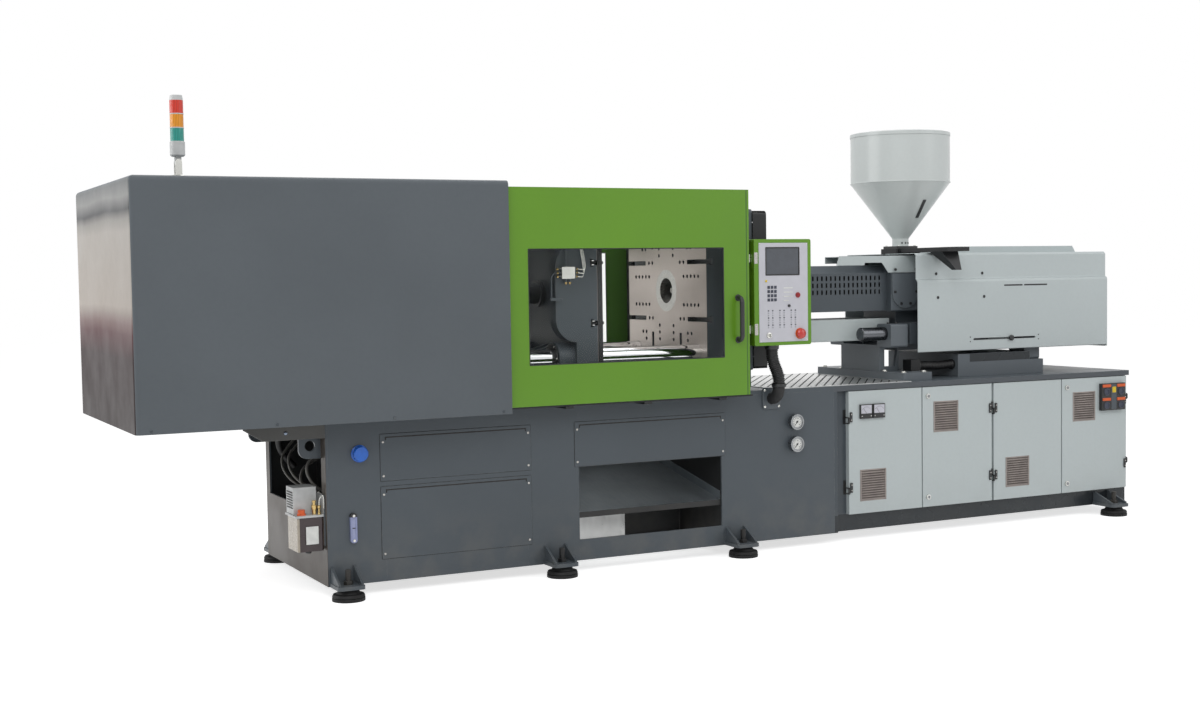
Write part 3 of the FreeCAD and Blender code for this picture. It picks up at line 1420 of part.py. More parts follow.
def panel_face():
    """White face plate with the screen recess, the keypad, a push button and the key switch."""
    left, right, top, bottom = panel_margins
    y = (-panel_front - panel_face_proud, -panel_front + panel_face_inset)
    x = (panel_x[0] + left, panel_x[1] - right)
    plate = block(x, y, (panel_z[0] + bottom, panel_z[1] - top))
    x0, z1 = panel_point((screen_place[0], screen_place[2]))
    x1, z0 = panel_point((screen_place[1], screen_place[3]))
    plate = plate.cut(block((x0, x1), (y[0] - 1, y[0] + screen_recess), (z0, z1)))
    keys = []
    for column in range(3):
        for row in range(4):
            kx, kz = panel_point((keypad_place[0] + column * keypad_pitch[0],
                                  keypad_place[1] + row * keypad_pitch[1]))
            keys.append(block((kx, kx + keypad_key), (y[0] - 1.5, y[0] + 1), (kz - keypad_key, kz)))
    kx, kz = panel_point(knob_place)
    keys.append(turned([(0, 0), (13, 0), (13, 4), (9, 5), (9, 10), (0, 10)], (kx, y[0], kz), (0, -1, 0)))
    kx, kz = panel_point(switch_place)
    keys.append(turned([(0, 0), (14, 0), (14, 6), (9, 8), (0, 8)], (kx, y[0], kz), (0, -1, 0)))
    keys.append(block((kx - 2, kx + 2), (y[0] - 20, y[0] - 7), (kz - 9, kz + 9)))
    body = fuse([plate] + keys)
    sx, sz = panel_point(stop_place)
    return body.cut(rod((sx, y[0] - 1, sz), (0, 1, 0), 20, stop_stem_diameter / 2 + running_clearance))


def emergency_stop():
    """Mushroom push button on its stem."""
    sx, sz = panel_point(stop_place)
    r = stop_diameter / 2
    stem = stop_stem_diameter / 2
    face = -panel_front - panel_face_proud
    rise = stop_travel + 2
    return turned([(0, 0), (stem, 0), (stem, 12 + rise), (r - 3, 12 + rise), (r, 15 + rise),
                   (r, 8 + stop_height - 6), (r - 8, 8 + stop_height), (0, 12 + stop_height)],
                  (sx, face + 12, sz), (0, -1, 0))


def ring_stack(length, bore, root, crest, pitch):
    """Corrugated hose along +X from the origin, ends plain for one diameter."""
    plain = crest
    count = int((length - 2 * plain) / pitch)
    start = (length - count * pitch) / 2
    stations = [(0.0, root / 2), (start, root / 2)]
    for i in range(count):
        s = start + i * pitch
        stations += [(s + pitch * 0.25, crest / 2), (s + pitch * 0.6, crest / 2), (s + pitch * 0.85, root / 2)]
    stations += [(start + count * pitch, root / 2), (length, root / 2)]
    return count, stations


def bent_hose(points, radii, bore, root, crest, pitch):
    """Corrugated hose on a smooth path: ruled loft through circles square to the path."""
    path = rounded_path(points, radii)
    length = path.Length
    print("hose radii", radii, "length", round(length, 1), "bore", bore)
    count, stations = ring_stack(length, bore, root, crest, pitch)
    rings = []
    for s, r in stations:
        centre, tangent = path_frame(path, min(s, length))
        rings.append(steady_circle(centre, tangent, r))
    outer = Part.makeLoft(rings, True, True)
    inner_rings = []
    for s in [length * i / 16 for i in range(17)]:
        centre, tangent = path_frame(path, s)
        inner_rings.append(steady_circle(centre, tangent, bore / 2))
    inner = Part.makeLoft(inner_rings, True, False)
    return outer.cut(inner)


def path_frame(path, distance):
    """Point and direction at a distance along a wire."""
    left = distance
    for edge in path.OrderedEdges:
        if left <= edge.Length + 1e-9:
            parameter = edge.getParameterByLength(min(left, edge.Length))
            return edge.valueAt(parameter), edge.tangentAt(parameter)
        left -= edge.Length
    edge = path.OrderedEdges[-1]
    return edge.valueAt(edge.LastParameter), edge.tangentAt(edge.LastParameter)


def steady_circle(centre, tangent, radius):
    """Circle square to a direction, whose start stays on the same side of the hose."""
    side = V(0, 1, 0) if abs(tangent.y) < 0.9 else V(1, 0, 0)
    x_axis = side.cross(tangent).normalize()
    circle = Part.Circle(centre, tangent, radius)
    circle.XAxis = x_axis
    return Part.Wire(circle.toShape())


elbow_top = foot_height + elbow_height + elbow_radius + 12


def conduit():
    """Corrugated conduit from the panel's gland down to the elbow."""
    top = (panel_x[0] + conduit_top_x, panel_hinge_y, panel_z[0] - 20)
    end = (st(elbow_station), -base_half_width - elbow_radius - 8, elbow_top)
    points = [top, (top[0], top[1], top[2] - 45), (end[0], end[1], end[2] + 45), end]
    return bent_hose(points, [conduit_bend] * 2, conduit_bore, conduit_root, conduit_crest, conduit_pitch)


def conduit_elbow():
    """Smooth elbow and flange that take the conduit into the base."""
    x = st(elbow_station)
    z = foot_height + elbow_height
    y0 = -base_half_width
    half = flange_size / 2
    flange = round_block((x - half, x + half), (y0 - flange_thickness, y0), (z - half, z + half), V(0, 1, 0), 14)
    y1 = y0 - elbow_radius - 8
    pipe = arc_pipe([(x, y0 - flange_thickness + 1, z), (x, y1, z), (x, y1, elbow_top)], conduit_crest / 2 - 1,
                    elbow_radius - 4)
    collar = rod((x, y1, elbow_top - 16), (0, 0, 1), 16, conduit_crest / 2 + 3)
    return fuse([flange, pipe, collar])


# ---- Signal tower -----------------------------------------------------------------------------------------
tower_x = st(tower_station)
tower_pivot = cover_top + tower_pivot_height


def tower_foot():
    """Foot of the signal tower with the clevis of its folding joint."""
    foot_disc = turned([(0, 0), (tower_foot_diameter / 2, 0), (tower_foot_diameter / 2, 6),
                        (tower_foot_diameter / 2 - 10, tower_foot_thickness), (0, tower_foot_thickness)],
                       (tower_x, -tower_offset, cover_top), (0, 0, 1))
    pieces = [foot_disc]
    inner = tower_tongue / 2 + seat_gap
    for side in (-1, 1):
        y = sorted((side * inner, side * (inner + tower_clevis)))
        y = (y[0] - tower_offset, y[1] - tower_offset)
        web = block((tower_x - tower_lug_radius, tower_x + tower_lug_radius), y, (cover_top + 10, tower_pivot))
        eye = rod((tower_x, y[0], tower_pivot), (0, 1, 0), tower_clevis, tower_lug_radius)
        pieces.extend([web, eye])
    pieces.append(rod((tower_x, -tower_offset - inner - tower_clevis, tower_pivot), (0, 1, 0),
                      2 * (inner + tower_clevis), tower_pin_radius))
    return fuse(pieces)


def signal_tower():
    """Stack of lenses on a grey base, on the tongue of its folding joint."""
    half = tower_tongue / 2
    base_low = tower_pivot + tower_lug_radius + 10
    tongue = block((tower_x - tower_lug_radius, tower_x + tower_lug_radius), (-tower_offset - half, -tower_offset + half),
                   (tower_pivot, base_low + 2))
    eye = rod((tower_x, -tower_offset - half, tower_pivot), (0, 1, 0), tower_tongue, tower_lug_radius)
    r = tower_base_diameter / 2
    lens = tower_lens_diameter / 2
    profile = [(0, base_low), (r - 6, base_low), (r, base_low + 6), (r, base_low + tower_base_height)]
    z = base_low + tower_base_height
    for _ in range(tower_lens_count):
        profile += [(lens - 2, z), (lens - 2, z + tower_lens_groove), (lens, z + tower_lens_groove),
                    (lens, z + tower_lens_height)]
        z += tower_lens_height
    profile += [(lens - 3, z + tower_cap_height), (0, z + tower_cap_height)]
    stack = turned(profile, (tower_x, -tower_offset, 0), (0, 0, 1))
    bore = rod((tower_x, -tower_offset - half - 1, tower_pivot), (0, 1, 0), tower_tongue + 2,
               tower_pin_radius + running_clearance)
    return fuse([tongue, eye, stack]).cut(bore)


# ---- Injection unit ---------------------------------------------------------------------------------------
unit_axis = axis_height + barrel_height


def saddle(x, low):
    """Upright that holds one guide rod of the injection unit."""
    y = (unit_rod_offset - 60, unit_rod_offset + 60)
    upright = round_block(x, y, (low, rod_axis + unit_rod_diameter / 2 + 16), V(1, 0, 0), 12)
    return upright.cut(rod_x((x[0] - 1, x[1] + 1), unit_rod_offset, rod_axis,
                             unit_rod_diameter / 2 + running_clearance))


def injection_stand():
    """Front support with a window in its side, and rear pedestal, both holding the guide rods."""
    x = (st(deck_start), st(deck_start + deck_length))
    deck_top = base_top + deck_height
    sole = round_block(x, (-deck_half_width, deck_half_width), (base_top, deck_top), V(0, 0, 1), 16)
    head = rod_axis - unit_rod_diameter / 2 - 6
    web = block((x[0] + 10, x[0] + 10 + stand_wall), (-160, 160), (deck_top - 1, head - 20))
    sides = []
    for side in (-1, 1):
        y = sorted((side * 150, side * (150 + stand_wall)))
        wall = block((x[0] + 10, x[0] + 10 + saddle_length + 16), y, (deck_top - 1, head))
        low, high = deck_top + 24, head - 40
        opening = prism_y([(x[0] + 10 + stand_window[0] - 12, low), (x[0] + 10 + stand_window[1] - 25, low),
                           (x[0] + 10 + stand_window[1] - 8, high), (x[0] + 10 + stand_window[0] - 12, high)],
                          (y[0] - 1, y[1] + 1))
        sides.append(wall.cut(opening))
    saddle_x = (x[0] + 10, x[0] + 10 + saddle_length)
    front_saddle = saddle(saddle_x, head - 30)
    length, width, height = hose_block
    hose_end_block = block((x[1] - length, x[1]), (-hose_offset - width / 2, -hose_offset + width / 2),
                           (deck_top - 1, deck_top + height))
    front = fuse([sole, web, hose_end_block] + sides + both_sides(front_saddle))
    y = (-pedestal_half_width, pedestal_half_width)
    body = block((st(pedestal_start), st(pedestal_start + pedestal_length)), y,
                 (base_top, base_top + pedestal_height))
    rear_end = st(pedestal_start + pedestal_length + pedestal_tail)
    sole_rear = block((st(pedestal_start), rear_end), y, (base_top, base_top + pedestal_sole))
    rear_saddle = saddle((rear_end - saddle_length, rear_end), base_top + pedestal_sole - 1)
    rear = fuse([body, sole_rear] + both_sides(rear_saddle))
    return group([front, rear])


def unit_guide_rods():
    """Two guide rods that the injection unit slides on."""
    r = unit_rod_diameter / 2
    length = unit_rod_end - unit_rod_start
    bar = turned([(0, 0), (r - 4, 0), (r, 4), (r, length - 4), (r - 4, length), (0, length)],
                 (st(unit_rod_start), unit_rod_offset, rod_axis), (1, 0, 0))
    return group(both_sides(bar))


def nozzle_cylinders():
    """Box-shaped nozzle contact cylinders between the fixed platen and the carriage."""
    half = nozzle_cylinder_size[0] / 2
    z = (base_top + nozzle_cylinder_height - nozzle_cylinder_size[1] / 2,
         base_top + nozzle_cylinder_height + nozzle_cylinder_size[1] / 2)
    x = (st(platen_back_station), st(nozzle_cylinder_end))
    beam = round_block(x, (nozzle_cylinder_offset - half, nozzle_cylinder_offset + half), z, V(1, 0, 0), 5)
    bore = rod_x((x[1] - nozzle_rod_length - 10, x[1] + 1), nozzle_cylinder_offset,
                 base_top + nozzle_cylinder_height, nozzle_rod_diameter / 2 + running_clearance)
    return group(both_sides(beam.cut(bore)))


def carriage():
    """Feed block casting with its side plates, saddles on the guide rods and the injection cylinders."""
    x = (st(feed_block_start), st(feed_block_start + feed_block_length))
    w = feed_block_half_width
    head = round_block(x, (-w, w), (base_top + feed_block_bottom, base_top + feed_block_top), V(1, 0, 0), 10)
    sx = (st(saddle_start), x[1])
    lower = block(sx, (-w + saddle_inset, w - saddle_inset), (base_top + saddle_bottom, base_top + feed_block_bottom + 1))
    slides = []
    for side in (-1, 1):
        y = sorted((side * (unit_rod_offset - 71), side * (unit_rod_offset + 55)))
        slides.append(block(sx, y, (rod_axis - 55, rod_axis + 55)))
    plates = []
    px = x[0] + 2
    for side in (-1, 1):
        y = sorted((side * (w - 1), side * (w + side_plate_thickness)))
        top = base_top + hood_bottom - 6
        r = side_plate_width / 2
        low = top - side_plate_drop + r
        plate = block((px, px + side_plate_width), y, (low, top))
        round_end = rod((px + r, y[0], low), (0, 1, 0), y[1] - y[0], r)
        plates.append(plate.fuse(round_end))
    cylinders = []
    for side in (-1, 1):
        cylinders.append(rod_x((x[1] - 1, x[1] + injection_cylinder_length), side * injection_cylinder_offset,
                               unit_axis, injection_cylinder_diameter / 2))
    rods = []
    rod_end = st(nozzle_cylinder_end)
    for side in (-1, 1):
        rods.append(rod_x((rod_end - nozzle_rod_length, sx[0] + 1), side * nozzle_cylinder_offset,
                          base_top + nozzle_cylinder_height, nozzle_rod_diameter / 2))
    cuts = [rod_x((x[0] - 1, x[1] + 1), 0, unit_axis, barrel_diameter / 2 + seat_gap),
            rod((st(hopper_station), 0, unit_axis), (0, 0, 1), feed_block_top, throat_diameter / 2)]
    for side in (-1, 1):
        cuts.append(rod_x((sx[0] - 1, sx[1] + 1), side * unit_rod_offset, rod_axis,
                          unit_rod_diameter / 2 + running_clearance))
        cuts.append(rod_x((x[1] + 60, x[1] + injection_cylinder_length + 1), side * injection_cylinder_offset,
                          unit_axis, injection_rod_diameter / 2 + running_clearance))
    return fuse([head, lower] + slides + plates + cylinders + rods).cut(Part.makeCompound(cuts))


def barrel():
    """Plasticising barrel with its nozzle, heater bands and feed port."""
    length = st(feed_block_start + feed_block_length) - st(nozzle_start)
    tip = barrel_start - nozzle_start
    r = barrel_diameter / 2
    band = band_diameter / 2
    bore = screw_diameter / 2 + running_clearance
    profile = [(nozzle_bore / 2, 0), (13, 0), (nozzle_diameter / 2, 34), (nozzle_diameter / 2, tip - 20),
               (r - 10, tip), (r, tip + 6)]
    for i in range(band_count):
        s = tip + 20 + i * band_pitch
        profile += [(r, s), (band, s), (band, s + band_length), (r, s + band_length)]
    profile += [(r, length), (bore, length), (bore, screw_start - nozzle_start - 10), (nozzle_bore / 2, tip)]
    body = turned(profile, (st(nozzle_start), 0, unit_axis), (1, 0, 0))
    port = rod((st(hopper_station), 0, unit_axis), (0, 0, 1), band + 5, throat_diameter / 2)
    return body.cut(port)


def barrel_cover():
    """Folded perforated cover over the barrel, with chamfered upper edges."""
    x = (st(barrel_cover_start), st(feed_block_start))
    w, t = barrel_cover_half_width, barrel_cover_top_half_width
    low = unit_axis - barrel_cover_drop
    side_top = unit_axis + barrel_cover_side_top
    high = unit_axis + barrel_cover_top
    s = barrel_cover_sheet
    outline = [(-w, low), (-w, side_top), (-t, high), (t, high), (w, side_top), (w, low),
               (w - s, low), (w - s, side_top - s / 2), (t - s / 2, high - s), (-t + s / 2, high - s),
               (-w + s, side_top - s / 2), (-w + s, low)]
    sheet = prism_x(outline, x)
    cuts = []
    for column in range(vent_slot_columns):
        sx = x[1] - 40 - column * vent_slot_pitch[0]
        if sx - vent_slot_size[0] < x[0] + 8:
            break
        for row in range(vent_slot_rows):
            sz = side_top - 14 - row * vent_slot_pitch[1]
            cuts.append(block((sx - vent_slot_size[0], sx), (-w - 1, w + 1), (sz - vent_slot_size[1], sz)))
    inside = block((x[0] - 1, x[1] + 1), (-w + s, w - s), (low - 1, side_top))
    return sheet.cut(Part.makeCompound([c.cut(inside) for c in cuts]))


def screw():
    """Plasticising screw: tip, check ring groove, flighted length as its outer cylinder, and shank."""
    r = screw_diameter / 2
    end = st(thrust_plate_start - bearing_length)
    length = end - st(screw_start)
    profile = [(0, 0), (8, 14), (r - 6, 45), (r - 6, 60), (r, 62), (r, 92), (r - 8, 94), (r - 8, 112), (r, 114),
               (r, length), (0, length)]
    return turned(profile, (st(screw_start), 0, unit_axis), (1, 0, 0))


def screw_drive():
    """Thrust plate with the screw bearing, the screw motor and the rods of the injection cylinders."""
    x = (st(thrust_plate_start), st(thrust_plate_start + thrust_plate_thickness))
    plate = round_block(x, (-injection_cylinder_offset - 65, injection_cylinder_offset + 65),
                        (unit_axis - 100, unit_axis + 100), V(1, 0, 0), 20)
    bearing = rod_x((x[0] - bearing_length, x[0] + 1), 0, unit_axis, bearing_diameter / 2)
    motor = turned([(0, 0), (screw_motor_diameter / 2, 0), (screw_motor_diameter / 2, screw_motor_length - 60),
                    (screw_motor_diameter / 2 - 30, screw_motor_length), (0, screw_motor_length)],
                   (x[1] - 1, 0, unit_axis), (1, 0, 0))
    rod_start = st(feed_block_start + feed_block_length) + 70
    rods = [rod_x((rod_start, x[0] + 1), side * injection_cylinder_offset, unit_axis, injection_rod_diameter / 2)
            for side in (-1, 1)]
    socket = rod_x((x[0] - bearing_length - 1, x[0] - bearing_length + seat_gap), 0, unit_axis, screw_diameter)
    return fuse([plate, bearing, motor] + rods).cut(socket)


def feed_hood():
    """White hood over the feed block and the end of the barrel cover."""
    x0, x1 = st(hood_start), st(hood_end)
    low, step, high = base_top + hood_bottom, base_top + hood_step, base_top + hood_top
    knee = st(feed_block_start) - 60
    w = feed_block_half_width + seat_gap + hood_wall
    outer = [(x0, step), (x0 + 18, high), (x1, high), (x1, low), (knee + 42, low), (knee, step + 13),
             (knee - 110, step + 13), (knee - 112, step)]
    hood = prism_y(outer, (-w, w))
    inner = block((x0 + hood_wall, x1 + 1), (-w + hood_wall, w - hood_wall), (low - 1, high - hood_wall))
    taper = prism_y([(x0 - 1, step - 1), (x0 + 22 + hood_wall, high), (x0 - 1, high)], (-w, w))
    hollow = inner.cut(taper)
    ahead = block((x0 - 1, st(hood_roof_start)), (-w + hood_wall, w + 1), (low - 1, high + 1))
    return hood.cut(Part.makeCompound([hollow, ahead]))


def injection_cover():
    """White moulded cover of the injection unit: bulged lower part, set-in upper part and a raised lid."""
    x = (st(unit_cover_start), st(unit_cover_start + unit_cover_length))
    w, u = unit_cover_half_width, unit_cover_upper_half_width
    low, ridge, high = base_top + unit_cover_bottom, base_top + unit_cover_ridge, base_top + unit_cover_top
    t = unit_cover_wall
    edge = 12
    outline = [(-w + edge, low), (-w, low + edge), (-w, ridge - edge), (-w + 4, ridge), (-u - 2, ridge + 3),
               (-u, ridge + 12), (-u, high - edge), (-u + edge, high)]
    outline += [(-y, z) for y, z in reversed(outline)]
    inner = [(-w + t, low - 1), (-w + t, ridge - edge), (-u + t, ridge + 8), (-u + t, high - edge),
             (-u + edge, high - t)]
    inner += [(-y, z) for y, z in reversed(inner)]
    shell = prism_x(outline, x)
    ends = [e for e in shell.Edges if e.BoundBox.XMin > x[1] - 1 and e.BoundBox.ZMin > low + 1]
    shell = shell.makeChamfer(8, ends)
    lid_x = (st(unit_lid_start), st(unit_lid_start + unit_lid_length))
    lid = prism_y([(lid_x[0] - 14, high - t - 2), (lid_x[0] + 12, high + unit_lid_rise),
                   (lid_x[1] - 12, high + unit_lid_rise), (lid_x[1] + 14, high - t - 2)],
                  (-unit_lid_half_width, unit_lid_half_width))
    shell = fuse([shell, lid])
    cavity = prism_x(inner, (x[0] - 1, x[1] - t - 8))
    lid_cavity = prism_y([(lid_x[0], high - t - 4), (lid_x[0] + 16, high + unit_lid_rise - t),
                          (lid_x[1] - 16, high + unit_lid_rise - t), (lid_x[1], high - t - 4)],
                         (-unit_lid_half_width + t, unit_lid_half_width - t))
    margin = riser_half + 4
    throat = block((x[0] - 1, st(hopper_station) + margin), (-margin, margin), (high - 20, high + 1))
    slot_x = st(unit_cover_start + side_slot_start)
    slot_z = low + side_slot_sill
    slot = block((slot_x, slot_x + side_slot_length), (-w - 1, -w + t + 1),
                 (slot_z - side_slot_width / 2, slot_z + side_slot_width / 2))
    return shell.cut(Part.makeCompound([cavity, lid_cavity, throat, slot, mirror_y(slot)]))


track_low = base_top + unit_cover_top
track_high = track_low + track_thickness


def hopper_track():
    """Slide track across the feed throat, reaching out to the operator, with the discharge spout."""
    x = st(hopper_station)
    plate = round_block((x - track_half_length, x + track_half_length), (-track_half_width, track_half_width),
                        (track_low, track_high), V(0, 0, 1), 8)
    arm = block((x - 62, x + track_half_length), (-track_reach, -track_half_width + 1), (track_low + 6, track_high))
    top_y, bottom_y = -hopper_travel, -hopper_travel - spout_lean
    high = track_low + 7
    low = high - spout_drop

    def ring(centre, z, size, shrink):
        hx, hy = size[0] / 2 - shrink, size[1] / 2 - shrink
        cx, cy = centre
        return Part.makePolygon([V(cx - hx, cy - hy, z), V(cx + hx, cy - hy, z), V(cx + hx, cy + hy, z),
                                 V(cx - hx, cy + hy, z), V(cx - hx, cy - hy, z)])

    top, bottom = (x, top_y), (x + spout_shift, bottom_y)
    outer = Part.makeLoft([ring(bottom, low, spout_bottom, 0), ring(top, high, spout_top, 0)], True, True)
    inner = Part.makeLoft([ring(bottom, low - 0.5, spout_bottom, spout_wall),
                           ring(top, high + 0.5, spout_top, spout_wall)], True, True)
    body = fuse([plate, arm, outer])
    throat = rod((x, 0, track_low - 1), (0, 0, 1), track_thickness + 2, throat_diameter / 2)
    outlet = rod((x, top_y, track_low), (0, 0, 1), track_thickness + 2, throat_diameter / 2)
    riser = block((x - riser_half, x + riser_half), (-riser_half, riser_half),
                  (base_top + feed_block_top, track_low + 1))
    riser = riser.cut(rod((x, 0, track_low - 80), (0, 0, 1), 90, throat_diameter / 2))
    return fuse([body, riser]).cut(Part.makeCompound([throat, outlet, inner]))


hopper_foot_low = track_high + seat_gap
hopper_low = hopper_foot_low + hopper_foot_thickness
hopper_rim = hopper_low + neck_height + cone_height + hopper_wall_height


def hopper():
    """Sheet metal hopper, cone and cylinder in one, on its slide plate."""
    x = st(hopper_station)
    t = hopper_sheet
    neck, wall = neck_outer_diameter / 2, hopper_diameter / 2
    z1 = hopper_low + neck_height
    z2 = z1 + cone_height
    profile = [(neck - t, hopper_low - 1), (neck, hopper_low - 1), (neck, z1), (wall, z2), (wall, hopper_rim),
               (wall - t, hopper_rim), (wall - t, z2 + 1), (neck - t, z1 + 1)]
    shell = turned(profile, (x, 0, 0), (0, 0, 1))
    half = hopper_foot_half
    foot_plate = round_block((x - half, x + half), (-half, half), (hopper_foot_low, hopper_low), V(0, 0, 1), 10)
    foot_plate = foot_plate.cut(rod((x, 0, hopper_foot_low - 1), (0, 0, 1), hopper_foot_thickness + 2,
                                    throat_diameter / 2))
    hinge_y0 = wall + lid_hinge_radius + 2
    hinge_z = hopper_rim - lid_hinge_drop
    pin = rod((x - 45, hinge_y0, hinge_z), (1, 0, 0), 90, lid_hinge_pin)
    wall_y = math.sqrt(wall ** 2 - 45 ** 2) - t / 2
    leaves = [block((x + s - 5, x + s + 5), (wall_y, hinge_y0 + 4), (hinge_z - 30, hinge_z + 6))
              for s in (-40, 40)]
    sight = block((x + 8, x + 16), (-wall, -neck), (z1 + 115, z1 + 195))
    return fuse([shell, foot_plate, pin] + leaves).cut(sight)


def hopper_lid():
    """Pressed lid with a shallow crown and a skirt, hinged at the back."""
    x = st(hopper_station)
    r = hopper_diameter / 2 + 1
    z = hopper_rim + seat_gap
    t = 1.5
    profile = [(0, z), (r, z), (r, z - lid_skirt), (r + t, z - lid_skirt), (r + t, z + 3), (r - 16, z + 8),
               (r * 0.5, z + lid_rise - 3), (0, z + lid_rise)]
    lid = turned(profile, (x, 0, 0), (0, 0, 1))
    wall = hopper_diameter / 2
    hinge_y0 = wall + lid_hinge_radius + 2
    notch = block((x - 50, x + 50), (wall - 4, hinge_y0 + 12), (z - lid_skirt - 1, z - 0.01))
    lid = lid.cut(notch)
    hinge_z = hopper_rim - lid_hinge_drop
    knuckle = rod((x - 30, hinge_y0, hinge_z), (1, 0, 0), 60, lid_hinge_radius)
    strap = block((x - 30, x + 30), (wall - 14, hinge_y0 + 4), (z + 1, z + 5))
    drop = block((x - 30, x + 30), (hinge_y0, hinge_y0 + 4), (hinge_z, z + 2))
    bore = rod((x - 31, hinge_y0, hinge_z), (1, 0, 0), 62, lid_hinge_pin + running_clearance)
    return fuse([lid, knuckle, strap, drop]).cut(bore)


def stand_hose():
    """Corrugated hose between the front support and the rear pedestal."""
    y = -hose_offset
    z = base_top + hose_height
    start, end = st(hose_start), st(hose_end)
    sag = 4.0
    points = [(start - 2, y, z), (start + 60, y, z), ((start + end) / 2, y, z - sag), (end - 60, y, z),
              (st(pedestal_start), y, z)]
    return bent_hose(points, [hose_bend] * 3, hose_bore, hose_root, hose_diameter, hose_pitch)


def nodes():
    """Every node of the machine by name."""
    rear_upper, front_upper, small_upper = rear_link(), front_links(), crosshead_links()
    door = guard_door()
    pane = guard_pane()
    table = {
        "clamp_base": clamp_base(),
        "injection_base": injection_base(),
        "deck_cover": deck_cover(),
        "feet": feet(),
        "access_panels": access_panels(),
        "discharge_tray": discharge_tray(),
        "filler_cap": filler_cap(),
        "gauges": gauges(),
        "lubricator": lubricator(),
        "fixed_platen": fixed_platen(),
        "tie_bars": tie_bars(),
        "platen_rear_guard": platen_rear_guard(),
        "end_platen": end_platen(),
        "end_platen_pins": end_platen_pins(),
        "adjusting_nuts": adjusting_nuts(),
        "clamp_cylinder": clamp_cylinder(),
        "crosshead": crosshead(),
        "rear_link_upper": rear_upper,
        "rear_link_lower": mirror_z(rear_upper),
        "front_links_upper": front_upper,
        "front_links_lower": mirror_z(front_upper),
        "crosshead_links_upper": small_upper,
        "crosshead_links_lower": mirror_z(small_upper),
        "moving_platen": moving_platen(),
        "moving_platen_pins": moving_platen_pins(),
        "platen_bushes": platen_bushes(),
        "ejector_cylinder": ejector_cylinder(),
        "ejector_rod": ejector_rod(),
        "lubrication_manifold": lubrication_manifold(),
        "clamp_cover": clamp_cover(),
        "door_frame": door_frame(),
        "front_door": mirror_y(door),
        "front_door_pane": mirror_y(pane),
        "rear_door": door,
        "rear_door_pane": pane,
        "panel_housing": panel_housing(),
        "panel_face": panel_face(),
        "emergency_stop": emergency_stop(),
        "conduit": conduit(),
        "conduit_elbow": conduit_elbow(),
        "tower_foot": tower_foot(),
        "signal_tower": signal_tower(),
        "injection_stand": injection_stand(),
        "unit_guide_rods": unit_guide_rods(),
        "nozzle_cylinders": nozzle_cylinders(),
        "carriage": carriage(),
        "barrel": barrel(),
        "barrel_cover": barrel_cover(),
        "screw": screw(),
        "screw_drive": screw_drive(),
        "feed_hood": feed_hood(),
        "injection_cover": injection_cover(),
        "hopper_track": hopper_track(),
        "hopper": hopper(),
        "hopper_lid": hopper_lid(),
        "stand_hose": stand_hose(),
    }
    for index in range(4):
        table["cabinet_door_%d" % (index + 1)] = cabinet_door(index)
    return table


os.makedirs("parts", exist_ok=True)
for name, shape in nodes().items():
    shape.exportStep("parts/%s.step" % name)
    print(name, len(shape.Solids), shape.isValid(), round(shape.Volume / 1e6, 3))

crosshead_stroke = crosshead_closed_x() - toggle_points()[3][0]
print("stroke", clamp_stroke, "crosshead", crosshead_stroke)
print("rear link", rear_angle, "front link", front_angle)
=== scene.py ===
"""Looks of an injection moulding machine: finishes, fine parts, floor, light and camera.

Lengths are millimetres unless a docstring says metres. A station is a distance along the machine from the left
end of its clamp cover. y points away from the operator and z is the height above the floor.
"""

import logging
from dataclasses import dataclass
from enum import Enum
from functools import cache

import bmesh
import bpy
import numpy as np
from mathutils import Matrix


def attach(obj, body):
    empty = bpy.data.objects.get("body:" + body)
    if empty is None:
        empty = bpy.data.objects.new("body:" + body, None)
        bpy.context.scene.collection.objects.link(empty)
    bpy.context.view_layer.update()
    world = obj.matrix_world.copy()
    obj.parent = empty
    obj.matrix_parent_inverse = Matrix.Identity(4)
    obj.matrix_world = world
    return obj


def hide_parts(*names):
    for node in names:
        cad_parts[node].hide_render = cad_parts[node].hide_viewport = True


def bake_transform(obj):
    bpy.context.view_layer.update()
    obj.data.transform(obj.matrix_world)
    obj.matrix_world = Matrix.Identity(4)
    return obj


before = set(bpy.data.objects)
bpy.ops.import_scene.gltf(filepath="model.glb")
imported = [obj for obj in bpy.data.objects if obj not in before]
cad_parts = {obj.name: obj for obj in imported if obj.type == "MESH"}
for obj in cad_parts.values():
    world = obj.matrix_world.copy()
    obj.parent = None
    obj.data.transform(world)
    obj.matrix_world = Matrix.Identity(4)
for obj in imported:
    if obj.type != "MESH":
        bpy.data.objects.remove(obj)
log = logging.getLogger("machine")

Array = np.ndarray
Colour = tuple[float, float, float, float]
Point = tuple[float, float, float]
Span = tuple[float, float]
Profile = list[tuple[float, float]]
Socket = bpy.types.NodeSocket

MM = 1000.0
HALF_LENGTH = 2705.0
AXIS_HEIGHT = 1272.5
HINGE_HEIGHTS = (270.0, 625.0)
RIGHT, LEFT = (1, 0, 0), (-1, 0, 0)
BACK, FRONT = (0, 1, 0), (0, -1, 0)
UP, DOWN = (0, 0, 1), (0, 0, -1)
NEAR, FAR = (1.0, 1.0, 1.0), (1.0, -1.0, 1.0)
WHITE_LIGHT = (1.0, 1.0, 1.0, 1.0)
EDGE_RADIUS = 2.5
SHARP_ANGLE = 35.0
SPAN_STEPS = 12


def metres(points: Array | Point) -> Array:
    """Turns (station, y, z) in millimetres into metres in the machine's frame.

    Args:
        points: One point or an array whose last axis holds station, y and z.

    Returns:
        The array in metres, with X measured from the middle of the machine.
    """
    return (np.asarray(points, float) - (HALF_LENGTH, 0.0, 0.0)) / MM


def tint(red: float, green: float, blue: float) -> Colour:
    """Linear colour of display values from 0 to 255."""
    shown = np.array([red, green, blue]) / 255.0
    linear = np.where(shown <= 0.04045, shown / 12.92, ((shown + 0.055) / 1.055) ** 2.4)
    return (*map(float, linear), 1.0)


